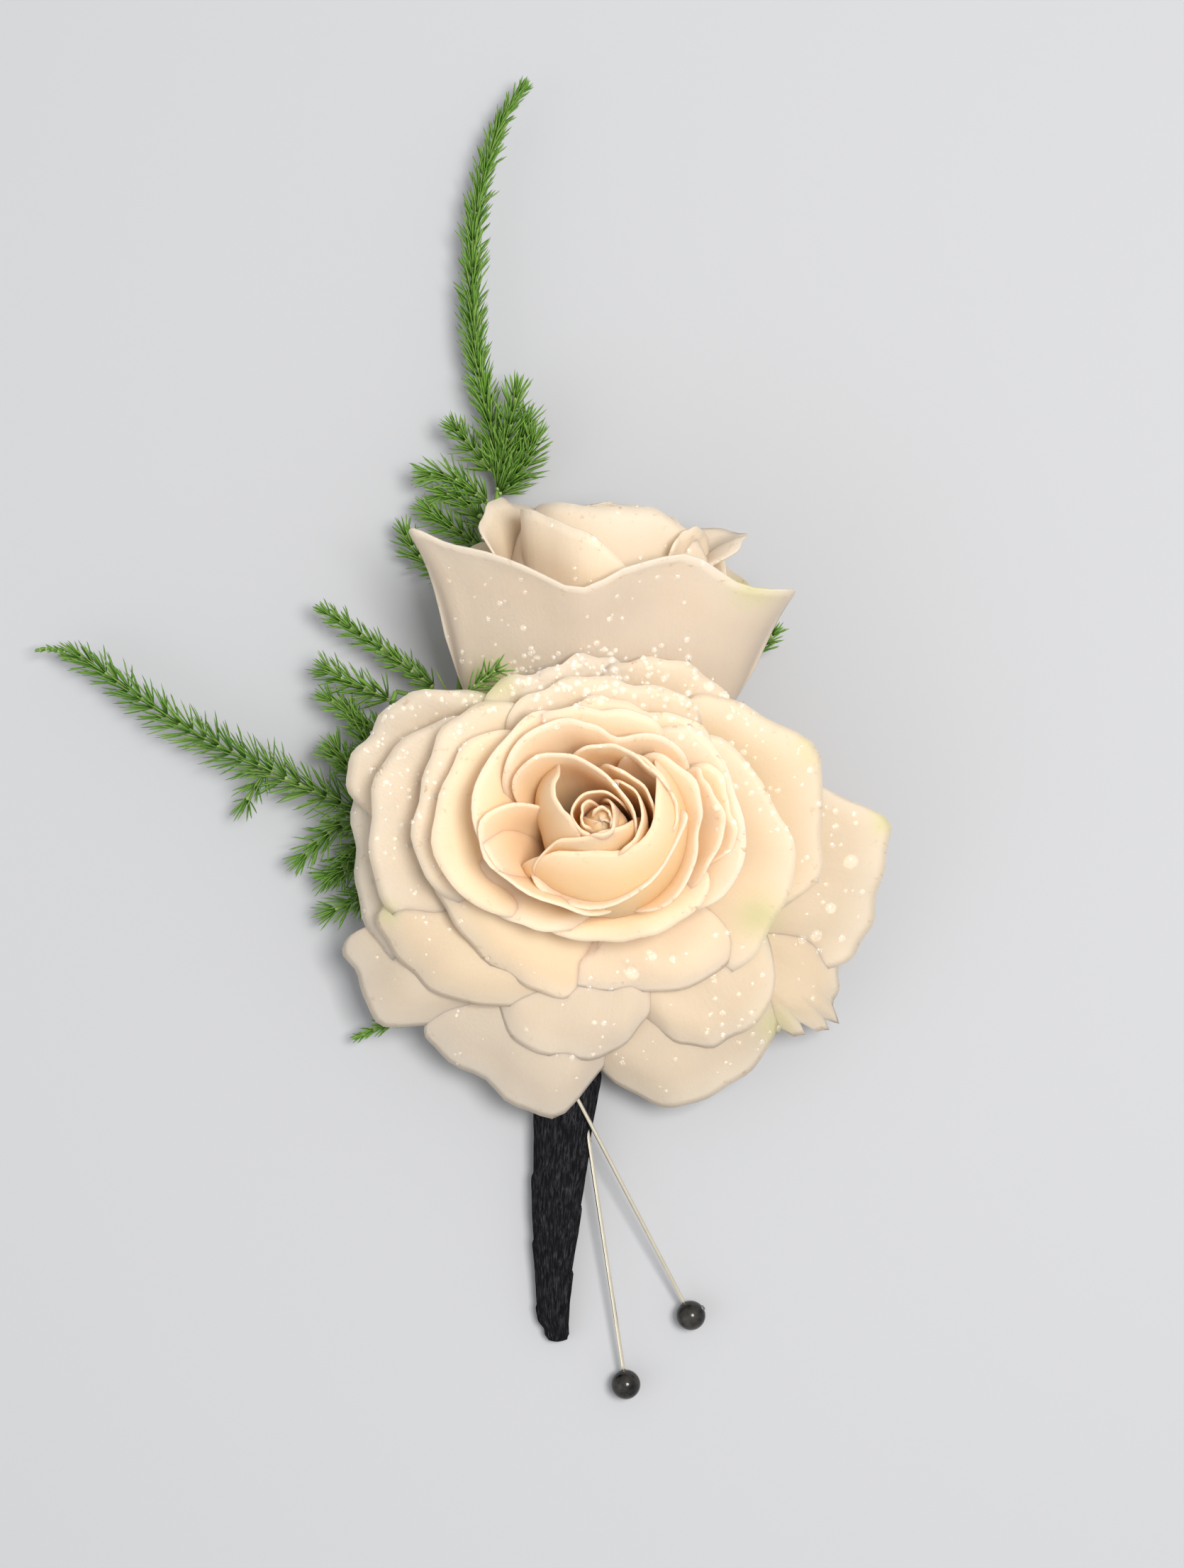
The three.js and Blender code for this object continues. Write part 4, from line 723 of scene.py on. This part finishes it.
def sprig_parts(points, needle, lean, gap, count):
    """A slim twig with pale knots and a fan of needles round it at each knot, and how pale each part is."""
    knots = max(3, round(curve_through(points, BARE_STEPS)[2] / gap))
    places, _, _ = curve_through(points, KNOT_STEPS * knots + 1)
    tangents, sides, ups = frames_along(places)
    radii = np.linspace(*TWIG_RADII, len(places))
    knot = np.exp(-(((np.arange(len(places)) % KNOT_STEPS - 1) / KNOT_WIDTH) ** 2))
    parts = [tube_mesh(places, radii + KNOT_SWELLING * knot, TWIG_AROUND)]
    pale = [np.repeat(TWIG_PALENESS + KNOT_PALENESS * knot, TWIG_AROUND)]
    for n in range(knots):
        spot = KNOT_STEPS * n + 1
        share = n / knots
        start = draw.uniform(0, 2 * math.pi)
        for k in range(count):
            turn = start + 2 * math.pi * (k + draw.uniform(-0.3, 0.3)) / count
            angle = draw.gauss(lean, LEAN_SPREAD) - LEAN_LOSS_AT_TIP * share**3
            angle = math.radians(np.clip(angle, *LEAN_LIMITS))
            spoke = sides[spot] * math.cos(turn) + ups[spot] * math.sin(turn)
            out = tangents[spot] * math.cos(angle) + spoke * math.sin(angle)
            reach = needle * (1 - LENGTH_LOSS_AT_TIP * share**5) * draw.uniform(0.7, 1.0)
            root = places[spot] + spoke * radii[spot] * 0.7 + tangents[spot] * draw.uniform(-0.15, 0.15)
            if root[2] + out[2] * reach < TIP_HEIGHT:
                out[2] = (TIP_HEIGHT - root[2]) / reach
                out = unit(out)
            parts.append((needle_mesh(root, out, tangents[spot], reach), NEEDLE_FACES, NEEDLE_UV))
            pale.append(np.full(len(NEEDLE_UV), draw.uniform(0, NEEDLE_PALENESS)))
    return parts, pale


fern_green, tree, shader = new_finish(
    "fern green", Roughness=0.5, Specular_IOR_Level=0.2, Subsurface_Weight=0.15,
    Subsurface_Radius=(0.5, 1.0, 0.2), Subsurface_Scale=0.0004)
growth = mixed(tree, on_strip(tree)["Y"], (0.040, 0.135, 0.008, 1), (0.15, 0.33, 0.035, 1))
clouded = mottled(tree, growth, (0.028, 0.105, 0.007, 1), scale=90.0, amount=0.55)
dress(tree, shader, mixed(tree, by_point(tree, "pale"), clouded, (0.34, 0.44, 0.15, 1)))

for label, frond in (("upper", UPPER_FROND), ("left", LEFT_FROND), ("right", RIGHT_FROND)):
    places, _, _ = curve_through(frond["stem"], FROND_STEPS)
    parts = [tube_mesh(places, np.linspace(*FROND_RADII, FROND_STEPS), FROND_AROUND)]
    for points in frond["bare"]:
        places, _, _ = curve_through(points, BARE_STEPS)
        parts.append(tube_mesh(places, np.linspace(*BARE_RADII, BARE_STEPS), FROND_AROUND))
    pale = [np.full(len(part[0]), STEM_PALENESS) for part in parts]
    for sprig in frond["sprigs"]:
        new_parts, new_pale = sprig_parts(*sprig)
        parts += new_parts
        pale += new_pale
    fern = new_piece(f"fern_frond_{label}", fern_green, parts, [("pale", np.concatenate(pale))])
    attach(fern, "root")
    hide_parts(f"fern_{label}")

# Floral tape: black waxed crepe, wound round all the stems from the roses down and closed in a small nub.
# Its fine crepe grooves run along the handle, and each turn of the winding leaves a soft step.
WRAP_AROUND = 216
WRAP_ROWS = 300
SOFTENING = 7
NUB_LENGTH = 1
NUB_FADE = 3
TURN_PITCH = 8.5
TAPE_STEP = 0.24
STEP_SLOPE = 0.9
STEP_EDGE = 0.06
GROOVE_DEPTH = 0.06
UNDERSIDE = 1.24
TABLE_GAP = 0.02
# stations up the handle, as [middle x, y, half width, height]
WRAP_STATIONS = np.array([
    (12.7, -77.1, 0.5, 1), (12.75, -76.8, 1.3, 2.3), (12.8, -76, 1.8, 3.1), (12.75, -75.2, 1.75, 3.1),
    (12.3, -74.3, 2.15, 3.5), (12.2, -72, 2.35, 3.9), (12.35, -68, 2.6, 4.4), (12.6, -60.5, 3.3, 5.4),
    (13.9, -45.7, 4.15, 6.5), (14.6, -38, 4.75, 7.1), (15, -31.6, 5.25, 7.7)])


def wrap_mesh():
    """The wound tube: level where it lies on the table, with the winding's steps and the crepe's grooves."""
    y = np.linspace(WRAP_STATIONS[0, 1], WRAP_STATIONS[-1, 1], WRAP_ROWS)
    kernel = np.hanning(2 * SOFTENING + 1)
    kernel /= kernel.sum()
    softness = np.clip((y - y[0] - NUB_LENGTH) / NUB_FADE, 0, 1)
    sizes = []
    for column in (0, 2, 3):
        raw = np.interp(y, WRAP_STATIONS[:, 1], WRAP_STATIONS[:, column])
        soft = np.convolve(np.pad(raw, SOFTENING, mode="edge"), kernel, mode="valid")
        sizes.append((raw * (1 - softness) + soft * softness)[:, None])
    x, half, height = sizes
    y = y[:, None]
    angle = np.linspace(0, 2 * np.pi, WRAP_AROUND, endpoint=False)
    turn = (y / TURN_PITCH + angle / (2 * np.pi)) % 1.0
    step = TAPE_STEP * np.clip(turn / STEP_SLOPE, 0, 1) * np.clip((1 - turn) / STEP_EDGE, 0, 1)
    grooves = np.sin(31 * angle + 3 * np.sin(0.21 * y)) * np.sin(17 * angle - 0.45 * y + 1.3)
    grooves += np.sin(53 * angle + 2 * np.sin(0.5 * y))
    inset = TAPE_STEP - step + GROOVE_DEPTH * (2 - grooves)
    tall = (height - inset) / 2 * np.sin(angle) * np.where(np.sin(angle) > 0, 1, UNDERSIDE)
    z = np.maximum(TABLE_GAP, height / 2 + tall)
    across = x + (half - inset) * np.cos(angle)
    return closed_tube(np.stack([across, np.broadcast_to(y, z.shape), z], axis=-1), flip=True)


tape_black, tree, shader = new_finish("black crepe tape", Roughness=0.82, Specular_IOR_Level=0.08)
crepe = ribbed(tree, count=70.0, wander=0.3, stretch=0.35)
# painted light and shade: the crepe's ridges are painted lighter grey and its grooves near black
lit_ridges_shaded_grooves = mixed(tree, stretched(tree, crepe, 0.45, 0.7), (0.003, 0.003, 0.004, 1), (0.055, 0.055, 0.063, 1))
clouded = mottled(tree, lit_ridges_shaded_grooves, (0.005, 0.005, 0.006, 1), scale=900.0, amount=0.8)
dress(tree, shader, clouded, crepe, strength=0.8, distance=0.0004)

wrap = new_piece("floral_tape_wrap", tape_black, [wrap_mesh()])
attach(wrap, "root")
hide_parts("stem_wrap")

# Pins: two plated steel boutonniere pins, pushed slantwise into the tape to be ready for the lapel.
# Each has a round shaft with a sharp point and a glossy black pearl head pressed onto its blunt end.
SHAFT_RADIUS = 0.265
BEAD_RADIUS = 1.88
SHAFT_IN_BEAD = 1.1
SHAFT_AROUND = 20
# the shares of its length where a shaft has rings, close together at the point
SHAFT_RINGS = np.concatenate([np.linspace(0, 0.92, 20), np.linspace(0.93, 1, 8)])
POINT_SHARE = 0.07
POINT_RADII = (0.04, 1)
BEAD_ROWS = 40
BEAD_AROUND = 48
# how far short of its poles a bead's rows stop, in radians, at the shaft's side and at the far side
BEAD_ENDS = (0.16, 0.02)
# the middle of each pin's head, and its point
PINS = {"a": np.array([(29.8, -73.5, 2.2), (13.9, -42.6, 6.9)]),
        "b": np.array([(21.5, -82.3, 2.2), (15.9, -45.2, 4.6)])}

pin_steel, tree, shader = new_finish("plated pin steel", Roughness=0.22, Metallic=1.0)
plate = mottled(tree, (0.86, 0.80, 0.66, 1), (0.70, 0.62, 0.45, 1), scale=500.0, amount=0.4)
dress(tree, shader, plate, ribbed(tree, count=12.0, wander=0.1, stretch=0.02), strength=0.05, distance=0.0001)

bead_black, tree, shader = new_finish(
    "black pearl", Roughness=0.3, Specular_IOR_Level=0.1, Coat_Weight=0.4, Coat_Roughness=0.05)
# painted reflection: grey clouds in the black base colour stand in for the pearl's mottled reflections
painted_lustre = mottled(tree, (0.002, 0.002, 0.003, 1), (0.042, 0.04, 0.034, 1), scale=520.0, amount=0.9)
dress(tree, shader, painted_lustre)

for letter, (head, point) in PINS.items():
    along = unit(point - head)
    start = head + along * (BEAD_RADIUS - SHAFT_IN_BEAD)
    places = start + (point - start) * SHAFT_RINGS[:, None]
    radii = SHAFT_RADIUS * np.clip((1.004 - SHAFT_RINGS) / POINT_SHARE, *POINT_RADII)
    shaft = new_piece(f"pin_{letter}_shaft", pin_steel, [tube_mesh(places, radii, SHAFT_AROUND)])
    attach(shaft, "root")
    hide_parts(f"pin_shaft_{letter}")

    latitude = np.linspace(np.pi / 2 - BEAD_ENDS[1], BEAD_ENDS[0] - np.pi / 2, BEAD_ROWS)
    places = head - np.outer(np.sin(latitude) * BEAD_RADIUS, along)
    ball = tube_mesh(places, BEAD_RADIUS * np.cos(latitude), BEAD_AROUND)
    bead = new_piece(f"pin_{letter}_bead", bead_black, [ball])
    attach(bead, "root")
    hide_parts(f"pin_bead_{letter}")

# Dew: small clear water drops that stand on the petals, most of them a third to one millimetre across.
# Each is a dome that sinks a little into the petal under it. They gather on the rims and the upper side.
DOME_AROUND = 12
DOME_HEIGHT = 0.72
DOME_SIDE = (0.31, 0.77, 0.55)
SMALLNESS = 1.6
STEEPEST = 0.6
ABOVE_ALL = 80
BEAD_DROP_RADIUS = 0.42
BEAD_DROP_SIDE = (0.8, 0.55, 0.24)
BEAD_DROP_HOLD = 0.98
# a drop's rings as [share of its radius, share of its height]
DOME = [(0.26, 0.965), (0.5, 0.865), (0.72, 0.695), (0.89, 0.455), (0.98, 0.17), (0.97, -0.14), (0.7, -0.45)]
# patches of drops as [middle x, y, patch radius, how many, smallest and largest drop radius]
DROP_PATCHES = [
    (-9, 12, 7, 80, 0.16, 0.42), (-11, 4, 6, 46, 0.16, 0.38), (-4, 8, 6, 54, 0.16, 0.44),
    (4, 7, 4.5, 46, 0.15, 0.4), (11, 7, 4, 40, 0.18, 0.45), (18, 7.6, 4, 48, 0.2, 0.5),
    (26, 7, 4, 36, 0.2, 0.5), (18, 2, 9, 44, 0.17, 0.4), (32, 3, 6, 26, 0.2, 0.5),
    (38, -1, 6, 16, 0.2, 0.5), (42, -8, 8, 20, 0.2, 0.5), (47, -16, 7, 12, 0.2, 0.45),
    (-8, -8, 7, 50, 0.16, 0.4), (-6, -20, 8, 30, 0.14, 0.34), (-2, -2, 7, 36, 0.14, 0.34),
    (34, -8, 6, 14, 0.17, 0.4), (4, 28, 7, 18, 0.2, 0.4), (4, 18, 6, 16, 0.18, 0.36),
    (22, 22, 12, 24, 0.18, 0.36), (25, 38, 12, 34, 0.15, 0.34), (24, -36, 12, 40, 0.16, 0.45),
    (38, -32, 8, 26, 0.18, 0.48), (12, -46, 14, 18, 0.14, 0.3), (0, -34, 12, 20, 0.14, 0.3)]
# drops placed one by one as [x, y, radius]
PLACED_DROPS = [
    (49, -15.2, 1.05), (46.6, -21, 0.85), (44.9, -24.4, 0.85), (43.2, -24.9, 0.65), (48.2, -24.8, 0.6),
    (45.3, -26.4, 0.5), (22.1, -28.7, 0.95), (24.6, -26.6, 0.6), (27, -26.9, 0.5), (33, 4.8, 0.7),
    (31.2, 6, 0.75), (-6.4, 8.6, 0.6), (-3, 9.8, 0.55), (28.6, -13.4, 0.55), (34.2, -6, 0.5),
    (9.9, 10.6, 0.4), (13.2, 10, 0.4), (15.1, 8.8, 0.4), (19.4, 9.9, 0.45), (8.1, 7.8, 0.4),
    (7.8, 5.1, 0.4), (10.8, 4.8, 0.35), (13.9, 5.9, 0.4), (15.5, 6.2, 0.45), (22.2, 4.7, 0.35),
    (24.7, 2, 0.4), (26.5, 1.9, 0.4), (28.6, 1, 0.4), (34.9, 4.9, 0.45), (31.8, -8.4, 0.5),
    (26.8, -14.8, 0.5), (32.2, -24, 0.4), (33.7, -23.7, 0.4), (1.5, 0.5, 0.4), (-5.8, -0.2, 0.4),
    (-4, 0.9, 0.35), (-7.8, 2.5, 0.35), (-4.5, 3.5, 0.4), (6.2, 16, 0.45), (4.7, 14.2, 0.35), (9, 13, 0.45),
    (28.6, 11.7, 0.45), (19.3, 14, 0.45), (49.3, -9.4, 0.4), (50.6, -19, 0.45), (38, -29, 0.4),
    (31.7, -34, 0.3), (33.2, -35.3, 0.35), (36.8, -33.8, 0.4), (4.5, -26.9, 0.35)]

DOME_FACES = [(0, 1 + k, 1 + (k + 1) % DOME_AROUND) for k in range(DOME_AROUND)]
for first in range(1, 1 + DOME_AROUND * (len(DOME) - 1), DOME_AROUND):
    DOME_FACES += [(first + k, first + DOME_AROUND + k, first + DOME_AROUND + (k + 1) % DOME_AROUND,
                    first + (k + 1) % DOME_AROUND) for k in range(DOME_AROUND)]
DOME_FACES += [tuple(range(len(DOME) * DOME_AROUND, (len(DOME) - 1) * DOME_AROUND, -1))]


def dome_mesh(centre, normal, radius):
    """A low drop with its axis along the petal's normal."""
    side = unit(np.cross(normal, DOME_SIDE))
    up = np.cross(normal, side)
    points = [centre + normal * radius * DOME_HEIGHT]
    for reach, height in DOME:
        for k in range(DOME_AROUND):
            turn = 2 * math.pi * k / DOME_AROUND
            spoke = side * math.cos(turn) + up * math.sin(turn)
            points.append(centre + radius * (reach * spoke + DOME_HEIGHT * height * normal))
    return np.array(points), DOME_FACES, np.zeros((len(points), 2))


bpy.context.view_layer.update()
petal_trees = []
for bloom in blooms:
    shown = bloom.evaluated_get(bpy.context.evaluated_depsgraph_get())
    petal_trees.append(BVHTree.FromPolygons(
        [v.co[:] for v in shown.data.vertices], [p.vertices[:] for p in shown.data.polygons]))


def drop_on_petal(x, y, radius):
    """A drop on the highest petal under that place, or nothing where there is none or it is too steep."""
    start = Vector((x, y, ABOVE_ALL)) * MM
    hits = [petal_tree.ray_cast(start, Vector((0, 0, -1))) for petal_tree in petal_trees]
    hits = [hit for hit in hits if hit[0] is not None]
    if not hits:
        return []
    place, normal, _, _ = max(hits, key=lambda hit: hit[0].z)
    if abs(normal.z) < STEEPEST:
        return []
    return [dome_mesh(np.array(place) / MM, np.array(normal if normal.z > 0 else -normal), radius)]


drops = []
for x, y, spread, count, small, large in DROP_PATCHES:
    for _ in range(count):
        away = spread * math.sqrt(draw.random())
        turn = draw.uniform(0, 2 * math.pi)
        radius = small + (large - small) * draw.random() ** SMALLNESS
        drops += drop_on_petal(x + away * math.cos(turn), y + away * math.sin(turn), radius)
for x, y, radius in PLACED_DROPS:
    drops += drop_on_petal(x, y, radius)
side = np.array(BEAD_DROP_SIDE)
drops.append(dome_mesh(PINS["a"][0] + BEAD_RADIUS * BEAD_DROP_HOLD * side, side, BEAD_DROP_RADIUS))

# light goes straight through a drop to the petal under it
water, tree, shader = new_finish(
    "clear water", Roughness=0.02, Base_Color=(1, 1, 1, 1), Transmission_Weight=0.96, IOR=1.33,
    Coat_Weight=1.0, Coat_IOR=1.7, Coat_Roughness=0.1)
shadow = node(tree, "ShaderNodeLightPath").outputs["Is Shadow Ray"]
show_both(tree, shadow, shader, node(tree, "ShaderNodeBsdfTransparent"))

dew = new_piece("dew_drops", water, drops)
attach(dew, "root")

# Table: a plain pale surface under the flower, with soft studio light from the upper right and from the left.
# It stands for whatever the flower is laid on, and only shows its shadow.
TABLE_HALF = 3000
TABLE_DROP = 0.1
LIT_PLACE = (20, -10, 20)
SKY_STRENGTH = 0.66

pale_table, _, _ = new_finish("pale table", Roughness=0.8, Base_Color=(0.40, 0.41, 0.43, 1))
corners = [(x * TABLE_HALF, y * TABLE_HALF, -TABLE_DROP) for x, y in ((-1, -1), (1, -1), (1, 1), (-1, 1))]
table = new_piece("table", pale_table, [(corners, [(0, 1, 2, 3)], np.zeros((4, 2)))])


def softbox(name, place, size, power, colour):
    """A square area light that looks at the flower."""
    data = bpy.data.lights.new(name, "AREA")
    data.size = size * MM
    data.energy = power
    data.color = colour
    light = bpy.data.objects.new(name, data)
    light.location = Vector(place) * MM
    light.rotation_euler = (Vector(LIT_PLACE) - Vector(place)).to_track_quat("-Z", "Y").to_euler()
    scene.collection.objects.link(light)


softbox("key", (170, 40, 610), 200, 4.3, (1.0, 0.97, 0.93))
softbox("fill", (-500, -200, 500), 500, 0.7, (0.97, 0.98, 1.0))
world = bpy.data.worlds.new("studio")
world.use_nodes = True
sky = world.node_tree.nodes["Background"].inputs
sky["Color"].default_value = (1, 1, 1, 1)
sky["Strength"].default_value = SKY_STRENGTH
scene.world = world
scene.view_settings.view_transform = "Standard"
